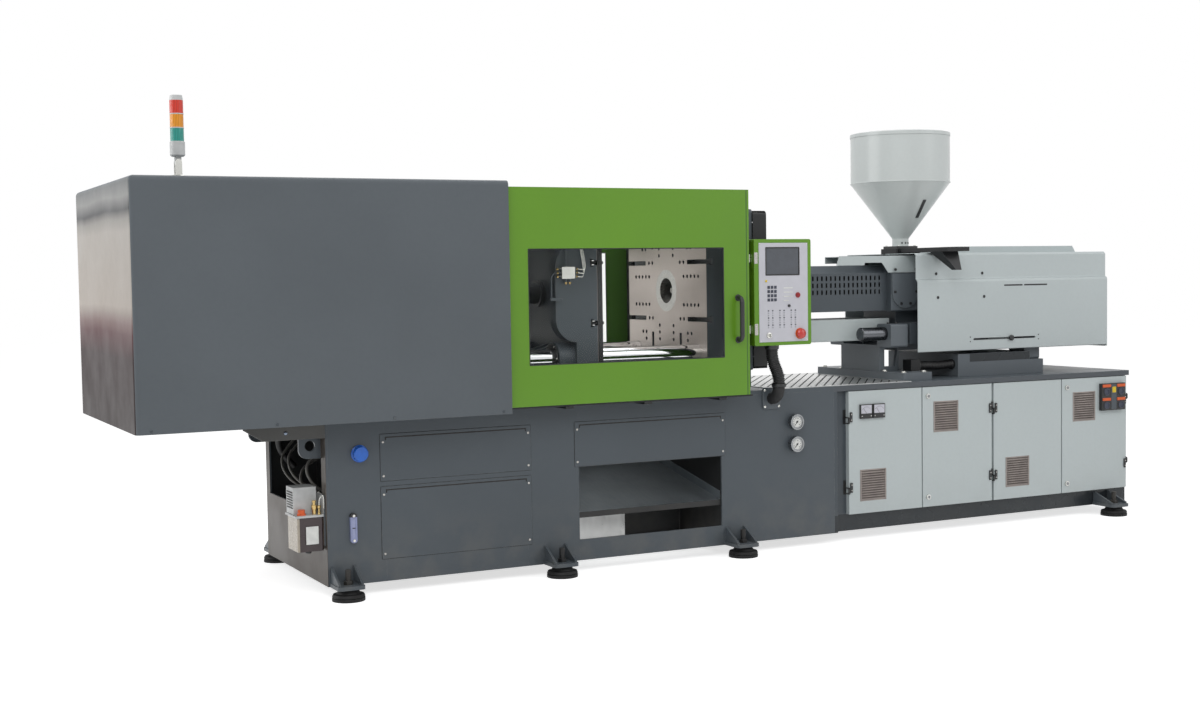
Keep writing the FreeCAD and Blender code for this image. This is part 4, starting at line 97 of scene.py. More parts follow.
def scaled(colour: Colour, factor: float) -> Colour:
    """A colour made lighter or darker by a factor."""
    return (*(min(1.0, c * factor) for c in colour[:3]), 1.0)


# ---- Material graphs ---------------------------------------------------------------------------------------


class Graph:
    """Builder of the nodes of a material or a world, read in Object coordinates."""

    def __init__(self, owner: bpy.types.Material | bpy.types.World) -> None:
        """Empties the owner's nodes.

        Args:
            owner: Material or world that the nodes belong to.
        """
        owner.use_nodes = True
        self.owner = owner
        self.tree = owner.node_tree
        self.tree.nodes.clear()
        self._place: Socket | None = None
        self._edge: Socket | None = None

    @property
    def place(self) -> Socket:
        """Place on the piece in metres."""
        if self._place is None:
            self._place = self.node("ShaderNodeTexCoord").outputs["Object"]
        return self._place

    def node(self, kind: str, inputs: dict | None = None, **settings) -> bpy.types.Node:
        """Adds a node.

        Args:
            kind: Node type.
            inputs: Values or sockets by input name or index.
            **settings: Attributes of the node.

        Returns:
            The new node.
        """
        made = self.tree.nodes.new(kind)
        for key, value in settings.items():
            setattr(made, key, value)
        for key, value in (inputs or {}).items():
            if isinstance(value, Socket):
                self.tree.links.new(value, made.inputs[key])
            else:
                made.inputs[key].default_value = value
        return made

    def maths(self, operation: str, *values: Socket | float) -> Socket:
        """One Math node on up to three values."""
        return self.node("ShaderNodeMath", dict(enumerate(values)), operation=operation).outputs[0]

    def vector(self, operation: str, a: Socket | Point, b: Socket | Point) -> bpy.types.Node:
        """One Vector Math node on two vectors."""
        return self.node("ShaderNodeVectorMath", {0: a, 1: b}, operation=operation)

    def noise(self, scale: float, detail: float, stretch: Point | None = None) -> Socket:
        """Noise of a number of cells a metre.

        Args:
            scale: Cells a metre.
            detail: Octaves.
            stretch: Factors on X, Y and Z, for grain that runs one way.

        Returns:
            The noise from 0 to 1.
        """
        place = self.vector("MULTIPLY", self.place, stretch).outputs[0] if stretch else self.place
        return self.node("ShaderNodeTexNoise", {"Vector": place, "Scale": scale, "Detail": detail}).outputs[0]

    def ramp(self, value: Socket, low: float, high: float, out: Span = (0.0, 1.0)) -> Socket:
        """Maps a range onto another, smoothly and clamped.

        Args:
            value: What is mapped.
            low: Start of the range.
            high: End of the range.
            out: Values at the start and the end.

        Returns:
            The mapped value.
        """
        inputs = {0: value, 1: low, 2: high, 3: out[0], 4: out[1]}
        return self.node("ShaderNodeMapRange", inputs, interpolation_type="SMOOTHSTEP").outputs[0]

    def blend(self, share: Socket | float, a: Socket | Colour, b: Socket | Colour) -> Socket:
        """Mixes two colours."""
        return self.node("ShaderNodeMix", {0: share, 6: a, 7: b}, data_type="RGBA").outputs[2]

    def between(self, share: Socket | float, a: Socket | float, b: Socket | float) -> Socket:
        """Mixes two numbers."""
        return self.node("ShaderNodeMix", {0: share, 2: a, 3: b}).outputs[0]

    def rounded(self) -> Socket:
        """Normal that is rounded over at edges."""
        if self._edge is None:
            self._edge = self.node("ShaderNodeBevel", {"Radius": EDGE_RADIUS / MM}, samples=4).outputs[0]
        return self._edge

    def edges(self) -> Socket:
        """1 at sharp edges and 0 on open faces: how far the rounded normal leans from the true one."""
        flat = self.node("ShaderNodeNewGeometry").outputs["Normal"]
        lean = self.vector("DOT_PRODUCT", self.rounded(), flat).outputs["Value"]
        return self.ramp(lean, 0.995, 0.86)

    def parts(self, vector: Socket) -> list[Socket]:
        """X, Y and Z of a vector."""
        return list(self.node("ShaderNodeSeparateXYZ", {0: vector}).outputs)

    def product(self, *values: Socket | float) -> Socket:
        """Values multiplied one after another."""
        made = values[0]
        for value in values[1:]:
            made = self.maths("MULTIPLY", made, value)
        return made

    def seen(self) -> Socket:
        """1 for what the camera sees, in a mirror and through glass too, and 0 for light falling on a piece."""
        path = self.node("ShaderNodeLightPath").outputs
        direct = self.maths("MAXIMUM", path["Is Camera Ray"], path["Is Glossy Ray"])
        return self.maths("MAXIMUM", direct, path["Is Transmission Ray"])


@dataclass
class Layer:
    """What one finish says about a surface: colour, roughness, metal share and relief in millimetres."""

    colour: Socket | Colour
    roughness: Socket | float
    metal: Socket | float
    relief: Socket | float


@dataclass(frozen=True)
class Paint:
    """Sprayed paint: clouded colour, orange peel, edges lighter from rubbing and from a painted highlight, and
    dust that gathers low down.
    """

    colour: Colour
    roughness: float = 0.38
    coat: float = 0.15
    clouding: float = 0.05
    peel: float = 0.035
    wear_and_highlight: float = 0.55
    dust: float = 0.16
    specular: float = 0.5
    slot: str = "slate_paint"

    def layer(self, g: Graph) -> Layer:
        """Colour from a broad and a fine noise, worn edges with a painted edge highlight from the rounded normal,
        dust by height.
        """
        cloud = g.ramp(g.noise(1.3, 3.0), 0.3, 0.7)
        mottle = g.noise(60.0, 3.0)
        colour = g.blend(cloud, scaled(self.colour, 1 - self.clouding), scaled(self.colour, 1 + self.clouding))
        colour = g.blend(g.ramp(mottle, 0.35, 0.75, (0.0, 0.10)), colour, scaled(self.colour, 0.8))
        patchy = g.ramp(g.noise(35.0, 4.0), 0.42, 0.62)
        # Edges lighter: partly worn paint, partly a painted highlight along the edge.
        rub_and_highlight = g.product(g.edges(), patchy, self.wear_and_highlight)
        colour = g.blend(rub_and_highlight, colour, g.blend(0.5, scaled(self.colour, 1.5), tint(196, 196, 192)))
        low = g.ramp(g.parts(g.place)[2], 0.42, 0.05)
        dust = g.product(low, g.ramp(g.noise(9.0, 5.0), 0.35, 0.75), self.dust)
        colour = g.blend(dust, colour, tint(150, 143, 132))
        rough = g.ramp(g.noise(5.0, 4.0), 0.25, 0.75, (self.roughness - 0.05, self.roughness + 0.07))
        rough = g.maths("ADD", rough, g.product(dust, 0.8))
        return Layer(colour, rough, 0.0, g.product(g.noise(420.0, 2.0), self.peel))


@dataclass(frozen=True)
class Metal:
    """Bare metal: tool or brush marks along one way, a faint stain and bright rubbed edges."""

    colour: Colour
    roughness: float = 0.3
    grain: Point = (1.0, 40.0, 40.0)
    depth: float = 0.02
    stain: float = 0.18
    coat: float = 0.0
    specular: float = 0.5
    slot: str = "steel"

    def layer(self, g: Graph) -> Layer:
        """Stretched noise drives roughness and relief; a broad noise stains the colour."""
        marks = g.noise(12.0, 3.0, self.grain)
        blotch = g.ramp(g.noise(7.0, 4.0), 0.4, 0.7)
        colour = g.blend(marks, scaled(self.colour, 0.86), scaled(self.colour, 1.1))
        colour = g.blend(g.product(blotch, self.stain), colour, scaled(self.colour, 0.45))
        colour = g.blend(g.product(g.edges(), 0.5), colour, scaled(self.colour, 1.35))
        rough = g.ramp(marks, 0.2, 0.8, (self.roughness * 0.75, self.roughness * 1.3))
        return Layer(colour, rough, 1.0, g.product(marks, self.depth))


@dataclass(frozen=True)
class Moulded:
    """Moulded plastic or rubber: fine grain, slight mottling and scuffs on its edges."""

    colour: Colour
    roughness: float = 0.45
    grain: float = 900.0
    depth: float = 0.03
    scuff: float = 0.3
    mottle: float = 0.09
    coat: float = 0.0
    specular: float = 0.5
    slot: str = "black_plastic"

    def layer(self, g: Graph) -> Layer:
        """Fine noise for the grain, a broad one for mottling, edges scuffed lighter."""
        broad = g.ramp(g.noise(22.0, 3.0), 0.3, 0.7)
        colour = g.blend(broad, scaled(self.colour, 1 - self.mottle), scaled(self.colour, 1 + self.mottle))
        scuffs = g.product(g.edges(), g.noise(80.0, 3.0), self.scuff)
        pale = g.blend(0.6, scaled(self.colour, 1.6), tint(170, 170, 168))
        rough = g.ramp(g.noise(30.0, 3.0), 0.2, 0.8, (self.roughness - 0.05, self.roughness + 0.08))
        relief = g.product(g.noise(self.grain, 1.0), self.depth)
        return Layer(g.blend(scuffs, colour, pale), rough, 0.0, relief)


@dataclass(frozen=True)
class Milled:
    """Machined mould face: overlapping arcs of a face mill on bare warm steel with a wiped film of oil."""

    colour: Colour
    roughness: float = 0.4
    coat: float = 0.0
    specular: float = 0.5
    slot: str = "cast_metal"

    def layer(self, g: Graph) -> Layer:
        """Rings about a far centre give the arcs; a stretched noise breaks them up."""
        moved = g.vector("ADD", g.place, (0.0, 0.4, -0.2)).outputs[0]
        far = g.vector("MULTIPLY", moved, (0.0, 1.0, 1.0)).outputs[0]
        waves = g.node(
            "ShaderNodeTexWave", {"Vector": far, "Scale": 46.0, "Distortion": 1.2, "Detail": 2.0},
            wave_type="RINGS", rings_direction="X",
        ).outputs["Fac"]
        smear = g.ramp(g.noise(3.0, 4.0, (1.0, 0.5, 1.6)), 0.35, 0.7)
        colour = g.blend(waves, scaled(self.colour, 0.93), scaled(self.colour, 1.07))
        colour = g.blend(g.product(smear, 0.25), colour, scaled(self.colour, 0.7))
        colour = g.blend(g.product(g.edges(), 0.6), colour, scaled(self.colour, 0.35))
        rough = g.between(smear, self.roughness, self.roughness + 0.12)
        return Layer(colour, rough, 0.85, g.product(waves, 0.01))


@dataclass(frozen=True)
class Lens:
    """Clear coloured plastic of a lamp: fine upright ribs inside and a glossy skin."""

    colour: Colour
    ribs: float = 26.0
    coat: float = 0.6
    specular: float = 0.5
    slot: str = "grey_plastic"

    def layer(self, g: Graph) -> Layer:
        """Ribs are a wave of the angle about the tower's axis."""
        x, y, _ = g.parts(g.place)
        angle = g.maths("ARCTAN2", g.maths("ADD", y, 0.42), g.maths("ADD", x, 2.465))
        wave = g.maths("SINE", g.product(angle, self.ribs))
        colour = g.blend(g.ramp(wave, -1.0, 1.0), scaled(self.colour, 0.72), scaled(self.colour, 1.25))
        return Layer(colour, 0.22, 0.0, g.product(wave, 0.25))


@dataclass(frozen=True)
class PaintedLightBands:
    """Gloss paint with painted light: its tone runs through bands of height, a painted reflection of a pale room
    above and a dark floor below.
    """

    bands: tuple[tuple[float, Colour], ...]
    roughness: float = 0.42
    coat: float = 0.12
    sway: float = 0.05
    specular: float = 0.5
    slot: str = "slate_paint"

    def layer(self, g: Graph) -> Layer:
        """A colour ramp of painted reflection and shade over the height, bent by a slow noise, with the orange
        peel of sprayed paint.
        """
        low, high = self.bands[0][0] / MM, self.bands[-1][0] / MM
        bend = g.product(g.maths("SUBTRACT", g.noise(1.7, 3.0), 0.5), self.sway)
        height = g.maths("ADD", g.parts(g.place)[2], bend)
        share = g.maths("DIVIDE", g.maths("SUBTRACT", height, low), high - low)
        ramp = g.node("ShaderNodeValToRGB", {0: share})
        stops = ramp.color_ramp.elements
        for place, colour in self.bands[1:-1]:
            stops.new((place / MM - low) / (high - low)).color = colour
        stops[0].color, stops[-1].color = self.bands[0][1], self.bands[-1][1]
        shade = g.ramp(g.noise(24.0, 4.0), 0.35, 0.75, (0.0, 0.05))
        colour = g.blend(shade, ramp.outputs[0], tint(60, 58, 56))
        rough = g.ramp(g.noise(5.0, 4.0), 0.25, 0.75, (self.roughness - 0.05, self.roughness + 0.07))
        return Layer(colour, rough, 0.0, g.product(g.noise(420.0, 2.0), 0.03))


Finish = Paint | Metal | Moulded | Milled | Lens | PaintedLightBands


@dataclass(frozen=True)
class Zone:
    """Box, or cylinder inside that box, where a piece has a finish of its own."""

    finish: Finish
    low: Point
    high: Point
    axis: str = ""

    def share(self, g: Graph) -> Socket:
        """1 inside the zone: the distance from its middle, in half sizes, is at most 1 on every axis.

        Args:
            g: Graph of the material.

        Returns:
            The mask.
        """
        low, high = metres(self.low), metres(self.high)
        centre, half = (low + high) / 2, (high - low) / 2
        way = g.vector("DIVIDE", g.vector("SUBTRACT", g.place, tuple(centre)).outputs[0], tuple(half)).outputs[0]
        x, y, z = (g.maths("ABSOLUTE", part) for part in g.parts(way))
        if self.axis:
            parts = {"x": (y, z, x), "y": (x, z, y), "z": (x, y, z)}[self.axis]
            square = g.maths("ADD", g.maths("POWER", parts[0], 2.0), g.maths("POWER", parts[1], 2.0))
            far = g.maths("MAXIMUM", g.maths("SQRT", square), parts[2])
        else:
            far = g.maths("MAXIMUM", g.maths("MAXIMUM", x, y), z)
        return g.maths("LESS_THAN", far, 1.0)


@cache
def material(name: str, finish: Finish, zones: tuple[Zone, ...]) -> bpy.types.Material:
    """Makes the material of a finish, with other finishes in zones, once.

    Args:
        name: Name of the material.
        finish: Finish outside the zones.
        zones: Zones, a later one over an earlier one.

    Returns:
        The material.
    """
    g = Graph(bpy.data.materials.new(name))
    top = finish.layer(g)
    for zone in zones:
        other, share = zone.finish.layer(g), zone.share(g)
        top = Layer(
            g.blend(share, top.colour, other.colour),
            g.between(share, top.roughness, other.roughness),
            g.between(share, top.metal, other.metal),
            g.between(share, top.relief, other.relief),
        )
    bump = g.node(
        "ShaderNodeBump", {"Strength": 0.6, "Distance": 1 / MM, "Height": top.relief, "Normal": g.rounded()}
    ).outputs[0]
    shader = g.node(
        "ShaderNodeBsdfPrincipled",
        {"Base Color": top.colour, "Roughness": top.roughness, "Metallic": top.metal, "Normal": bump,
         "Coat Weight": finish.coat, "Coat Roughness": 0.12, "Specular IOR Level": finish.specular},
    )
    g.node("ShaderNodeOutputMaterial", {0: shader.outputs[0]})
    return g.owner


def pane_material(name: str, colour: Colour) -> bpy.types.Material:
    """Clear sheet: see-through with a mirror share that grows at a slant, and faint wipe marks.

    Args:
        name: Name of the material.
        colour: Tint of what is seen through it.

    Returns:
        The material.
    """
    gloss, wiped = 0.03, 0.15
    g = Graph(bpy.data.materials.new(name))
    smears = g.ramp(g.noise(4.0, 4.0, (1.0, 1.0, 3.0)), 0.4, 0.8, (gloss, wiped))
    clear = g.node("ShaderNodeBsdfTransparent", {0: colour}).outputs[0]
    mirror = g.node("ShaderNodeBsdfGlossy", {"Color": WHITE_LIGHT, "Roughness": smears}).outputs[0]
    slant = g.node("ShaderNodeFresnel", {"IOR": 1.12}).outputs[0]
    share = g.node("ShaderNodeMixShader", {0: slant, 1: clear, 2: mirror}).outputs[0]
    g.node("ShaderNodeOutputMaterial", {0: share})
    return g.owner


class Coat(Enum):
    """Finishes of the machine."""

    SLATE = Paint(tint(83, 90, 96), coat=0.05, specular=0.3)
    COVER = Paint(tint(101, 107, 112), roughness=0.4, coat=0.0, specular=0.12)
    # Painted reflection on the cover's glossy end face: bands of light and dark tone by height.
    COVER_END_REFLECTION = PaintedLightBands((
        (757.0, tint(30, 18, 18)), (1050.0, tint(40, 24, 26)), (1150.0, tint(84, 52, 55)),
        (1190.0, tint(120, 98, 96)), (1260.0, tint(174, 166, 158)), (1560.0, tint(174, 169, 163)),
        (1610.0, tint(150, 147, 143)), (1645.0, tint(80, 81, 83)), (1700.0, tint(146, 146, 145)),
        (1770.0, tint(104, 108, 110))))
    # Painted light and shade on the base's end wall: darker at the bottom and top, lighter in the middle.
    BASE_END_SHADING = PaintedLightBands(((50.0, tint(62, 55, 49)), (280.0, tint(78, 71, 65)), (350.0, tint(96, 90, 84)),
                       (785.0, tint(62, 58, 54))))
    STAND = Paint(tint(104, 111, 117), coat=0.05, specular=0.3)
    # Near-black: painted shade inside the base, under the slotted deck, on the tray's front and on a splash
    # sheet; also the dark bands on the barrel.
    NEAR_BLACK_AND_SHADE = Paint(tint(30, 31, 32), roughness=0.6, coat=0.0, wear_and_highlight=0.2, dust=0.1)
    # Painted shade on the set-back skirt under the cabinet doors and on the pedestal's side.
    PLINTH_SHADE = Paint(tint(46, 51, 55), roughness=0.25, coat=0.5, wear_and_highlight=0.3, dust=0.03)
    # Painted shade on the set-back frame post beside the first cabinet door.
    RECESS_SHADE = Paint(tint(75, 82, 88))
    HEAD = Paint(tint(85, 90, 95))
    BRACKET = Paint(tint(62, 62, 60), roughness=0.45)
    TRAY = Metal(tint(140, 147, 152), roughness=0.5, grain=(30.0, 1.0, 1.0), depth=0.01, slot="slate_paint")
    # Darker door green: painted shade on the doors' inner sides and in the channel near their edge.
    GREEN_SHADE = Paint(tint(62, 108, 22), roughness=0.4, slot="green_paint")
    GUN_METAL = Metal(tint(96, 98, 102), roughness=0.25, grain=(60.0, 2.0, 2.0), slot="chrome")
    BEZEL = Metal(tint(150, 152, 154), roughness=0.3, grain=(1.0, 1.0, 1.0))
    DARK_RED = Moulded(tint(150, 24, 30), roughness=0.3, coat=0.4, slot="red_plastic")
    BOLT = Metal(tint(120, 130, 145), roughness=0.3, grain=(1.0, 1.0, 1.0))
    BAY_HOSE = Moulded(tint(110, 108, 104), roughness=0.5, slot="hose_plastic")
    BAY_BLOCK = Paint(tint(120, 110, 100), roughness=0.5, slot="cast_metal")
    SCALE = Moulded(tint(206, 206, 216), roughness=0.4, depth=0.0, mottle=0.02, slot="white_plastic")
    GREEN = Paint(tint(96, 147, 18), roughness=0.4, coat=0.1, clouding=0.04, slot="green_paint")
    WHITE = Paint(tint(196, 205, 206), roughness=0.42, clouding=0.02, wear_and_highlight=0.25, dust=0.08, slot="white_paint")
    HOPPER = Paint(tint(208, 214, 213), roughness=0.36, coat=0.25, clouding=0.015, wear_and_highlight=0.2, slot="white_paint")
    BLACK = Paint(tint(26, 27, 29), roughness=0.45, coat=0.05, wear_and_highlight=0.45, specular=0.35, slot="black_paint")
    DARK = Paint(tint(70, 74, 77), roughness=0.42, wear_and_highlight=0.6, slot="dark_casting")
    CAST = Paint(tint(96, 98, 98), roughness=0.6, coat=0.0, clouding=0.1, peel=0.25, slot="cast_metal")
    MILLED = Milled(tint(186, 176, 170))
    STEEL = Metal(tint(176, 174, 170))
    CHROME = Metal(tint(228, 230, 232), roughness=0.09, grain=(60.0, 2.0, 2.0), stain=0.08, slot="chrome")
    SHEET = Metal(tint(214, 215, 214), roughness=0.34, grain=(3.0, 60.0, 1.0), slot="bright_sheet")
    ZINC = Metal(tint(205, 205, 200), roughness=0.24, grain=(1.0, 1.0, 1.0), slot="steel")
    BRASS = Metal(tint(190, 165, 112), roughness=0.25, grain=(1.0, 1.0, 1.0), slot="brass")
    GREY_PLASTIC = Moulded(tint(200, 202, 202), roughness=0.4, slot="grey_plastic")
    BLACK_PLASTIC = Moulded(tint(30, 31, 33))
    RUBBER = Moulded(tint(20, 20, 21), roughness=0.68, grain=500.0, depth=0.08, scuff=0.45)
    RED = Moulded(tint(206, 34, 22), roughness=0.28, coat=0.5, slot="red_plastic")
    ORANGE = Moulded(tint(222, 96, 42), roughness=0.4, slot="red_plastic")
    YELLOW = Moulded(tint(226, 196, 40), roughness=0.4, slot="grey_plastic")
    BLUE = Moulded(tint(16, 98, 200), roughness=0.34, coat=0.3, slot="blue_plastic")
    FACE = Moulded(tint(208, 208, 216), roughness=0.35, grain=700.0, depth=0.015, scuff=0.1, mottle=0.02,
                   slot="white_plastic")
    DIAL = Moulded(tint(232, 233, 230), roughness=0.5, depth=0.0, slot="white_plastic")
    KEY = Moulded(tint(58, 62, 78), roughness=0.5, slot="black_plastic")
    PALE_KEY = Moulded(tint(176, 178, 184), roughness=0.5, slot="white_plastic")
    SCREEN = Moulded(tint(64, 70, 80), roughness=0.12, depth=0.0, coat=0.9, slot="black_plastic")
    LOUVRE = Moulded(tint(160, 150, 145), roughness=0.5, slot="white_paint")
    RESERVOIR = Moulded(tint(176, 166, 150), roughness=0.25, coat=0.4, slot="grey_plastic")
    RESERVOIR_DARK = Moulded(tint(54, 40, 42), roughness=0.2, coat=0.5, slot="grey_plastic")
    LEVEL = Moulded(tint(142, 150, 190), roughness=0.15, coat=0.8, slot="blue_plastic")
    HOSE = Moulded(tint(15, 15, 17), roughness=0.5, grain=300.0, depth=0.05, slot="hose_plastic")
    LAMP_RED = Lens(tint(214, 52, 32))
    LAMP_AMBER = Lens(tint(236, 150, 22))
    LAMP_GREEN = Lens(tint(34, 150, 138))

    def zone(self, low: Point, high: Point, axis: str = "") -> Zone:
        """The finish inside a box, or inside a cylinder that fills the box along an axis."""
        return Zone(self.value, low, high, axis)

    def disc(self, a: float, b: float, radius: float, depths: Span, axis: str) -> Zone:
        """The finish inside a cylinder.

        Args:
            a: First coordinate of its centre line, square to the axis.
            b: Second coordinate of its centre line.
            radius: Radius of the cylinder.
            depths: Low and high coordinate along the axis.
            axis: Axis of the cylinder.

        Returns:
            The zone.
        """
        low, high = [a - radius, b - radius], [a + radius, b + radius]
        low.insert("xyz".index(axis), depths[0])
        high.insert("xyz".index(axis), depths[1])
        return Zone(self.value, tuple(low), tuple(high), axis)

    def material(self, *zones: Zone) -> bpy.types.Material:
        """The finish as a material, with other finishes in zones."""
        return material(self.name.lower(), self.value, zones)


# ---- Shapes ------------------------------------------------------------------------------------------------


def outline_round(x: Span, z: Span, radius: float, steps: int = 5) -> Array:
    """Rectangle with round corners, anticlockwise: a quarter circle about each corner's centre.

    Args:
        x: Low and high first coordinate.
        z: Low and high second coordinate.
        radius: Corner radius.
        steps: Points a corner.

    Returns:
        Array of points (4 * steps, 2).
    """
    inner = (x[0] + radius, x[1] - radius, z[0] + radius, z[1] - radius)
    centres = np.array([(inner[1], inner[3]), (inner[0], inner[3]), (inner[0], inner[2]), (inner[1], inner[2])])
    turn = np.arange(4)[:, None] * np.pi / 2 + np.linspace(0, np.pi / 2, steps)[None, :]
    return (centres[:, None, :] + radius * np.stack([np.cos(turn), np.sin(turn)], -1)).reshape(-1, 2)


def inset(outline: Array, distance: float) -> Array:
    """Moves an anticlockwise outline inwards along its normals, each the mean of its two sides' normals."""
    ahead = np.roll(outline, -1, 0) - outline
    behind = outline - np.roll(outline, 1, 0)
    unit = ahead / np.linalg.norm(ahead, axis=1)[:, None] + behind / np.linalg.norm(behind, axis=1)[:, None]
    unit /= np.linalg.norm(unit, axis=1)[:, None]
    return outline + distance * np.stack([-unit[:, 1], unit[:, 0]], -1)


def stacked(outline: Array, rings: Profile, axis: str = "y") -> Array:
    """Outline carried along an axis: each (depth, inset) pair is one ring, the outline set in and moved so far.

    Args:
        outline: Outline in the two other coordinates, anticlockwise.
        rings: Depth and inset of each ring.
        axis: Axis of the depths.

    Returns:
        Grid of rings.
    """
    flat = np.stack([inset(outline, back) if back else outline for _, back in rings])
    deep = np.broadcast_to(np.array([depth for depth, _ in rings])[:, None, None], (*flat.shape[:2], 1))
    a, b = flat[..., :1], flat[..., 1:]
    return np.concatenate({"x": (deep, a, b), "y": (a, deep, b), "z": (a, b, deep)}[axis], -1)


def slab(outline: Array, depths: Span, edge: float = 0.8, axis: str = "y") -> Array:
    """Plate with small chamfers: its outline set in by the chamfer at both ends."""
    low, high = depths
    return stacked(outline, [(low, edge), (low + edge, 0.0), (high - edge, 0.0), (high, edge)], axis)


def square_frame(axis: Point | Array) -> tuple[Array, Array, Array]:
    """Two directions square to an axis, and the axis, all of length one."""
    way = np.asarray(axis, float) / np.linalg.norm(axis)
    side = np.cross(way, (0.0, 0.0, 1.0) if abs(way[2]) < 0.9 else (1.0, 0.0, 0.0))
    side /= np.linalg.norm(side)
    return side, np.cross(way, side), way


def turned(profile: Profile, start: Point | Array, axis: Point, count: int) -> Array:
    """Surface of revolution: each (radius, distance) pair is a ring about the axis.

    Args:
        profile: Radius and distance along the axis of each ring.
        start: Point at distance 0.
        axis: Direction of the axis.
        count: Points a ring.

    Returns:
        Grid of rings.
    """
    side, up, way = square_frame(axis)
    radius, along = np.array(profile, float).T
    turn = np.arange(count) * 2 * np.pi / count
    spoke = np.cos(turn)[:, None] * side + np.sin(turn)[:, None] * up
    return np.asarray(start) + along[:, None, None] * way + radius[:, None, None] * spoke[None]


def smooth_path(points: list[Point] | tuple[Point, ...]) -> Array:
    """Curve through points: on each span the cubic that has the chords of the neighbours as its end slopes."""
    p = np.array([points[0], *points, points[-1]], float)
    t = np.linspace(0, 1, SPAN_STEPS, endpoint=False)[None, :, None]
    a, b, c, d = (p[i : len(p) - 3 + i][:, None, :] for i in range(4))
    curve = b + 0.5 * t * (c - a + t * (2 * a - 5 * b + 4 * c - d + t * (3 * (b - c) + d - a)))
    return np.vstack([curve.reshape(-1, 3), p[-1]])


def even_path(path: Array, step: float) -> tuple[Array, Array]:
    """The path's points at even distances, and those distances.

    Args:
        path: Points in order.
        step: Greatest distance between two.

    Returns:
        Points, and their distances along the path.
    """
    along = np.concatenate([[0.0], np.cumsum(np.linalg.norm(np.diff(path, axis=0), axis=1))])
    want = np.linspace(0, along[-1], int(np.ceil(along[-1] / step)) + 1)
    return np.stack([np.interp(want, along, path[:, i]) for i in range(3)], -1), want


def tube(path: Array, radius: float | Array, count: int) -> Array:
    """Circle carried along a path: rings square to its slope, sides taken from one fixed direction.

    Args:
        path: Points in order.
        radius: Radius, or one for each point.
        count: Points a ring.

    Returns:
        Grid of rings.
    """
    slope = np.gradient(path, axis=0)
    slope /= np.linalg.norm(slope, axis=1)[:, None]
    spread = np.abs(slope).sum(0)
    fixed = np.eye(3)[int(np.argmin(spread))]
    side = np.cross(slope, fixed)
    side /= np.linalg.norm(side, axis=1)[:, None]
    up = np.cross(slope, side)
    turn = np.arange(count) * 2 * np.pi / count
    spoke = np.cos(turn)[None, :, None] * side[:, None] + np.sin(turn)[None, :, None] * up[:, None]
    return path[:, None, :] + np.broadcast_to(radius, (len(path),))[:, None, None] * spoke


def ribbed(path: Array, root: float, crest: float, pitch: float, count: int) -> Array:
    """Corrugated hose: the radius swells from root to crest once a pitch, as a flattened sine of the distance.

    Args:
        path: Points in order.
        root: Radius in the grooves.
        crest: Radius on the ribs.
        pitch: Distance between ribs.
        count: Points a ring.

    Returns:
        Grid of rings.
    """
    even, along = even_path(path, pitch / 6)
    wave = np.clip(0.5 - 0.75 * np.cos(2 * np.pi * along / pitch), 0, 1)
    return tube(even, root + (crest - root) * wave, count)


SCREW = [(0.5, 0.0), (1.0, 0.0), (1.0, 0.25), (0.8, 0.5), (0.5, 0.62), (0.46, 0.35), (0.1, 0.35)]
HEX = [(1.0, 0.0), (1.0, 0.55), (0.92, 0.65), (0.2, 0.65)]
DOME = [(1.0, 0.0), (1.0, 0.3), (0.92, 0.5), (0.72, 0.68), (0.4, 0.8), (0.1, 0.84)]


def sized(profile: Profile, radius: float, height: float | None = None) -> Profile:
    """A unit profile made as wide and as high as given."""
    return [(r * radius, d * (height or radius)) for r, d in profile]


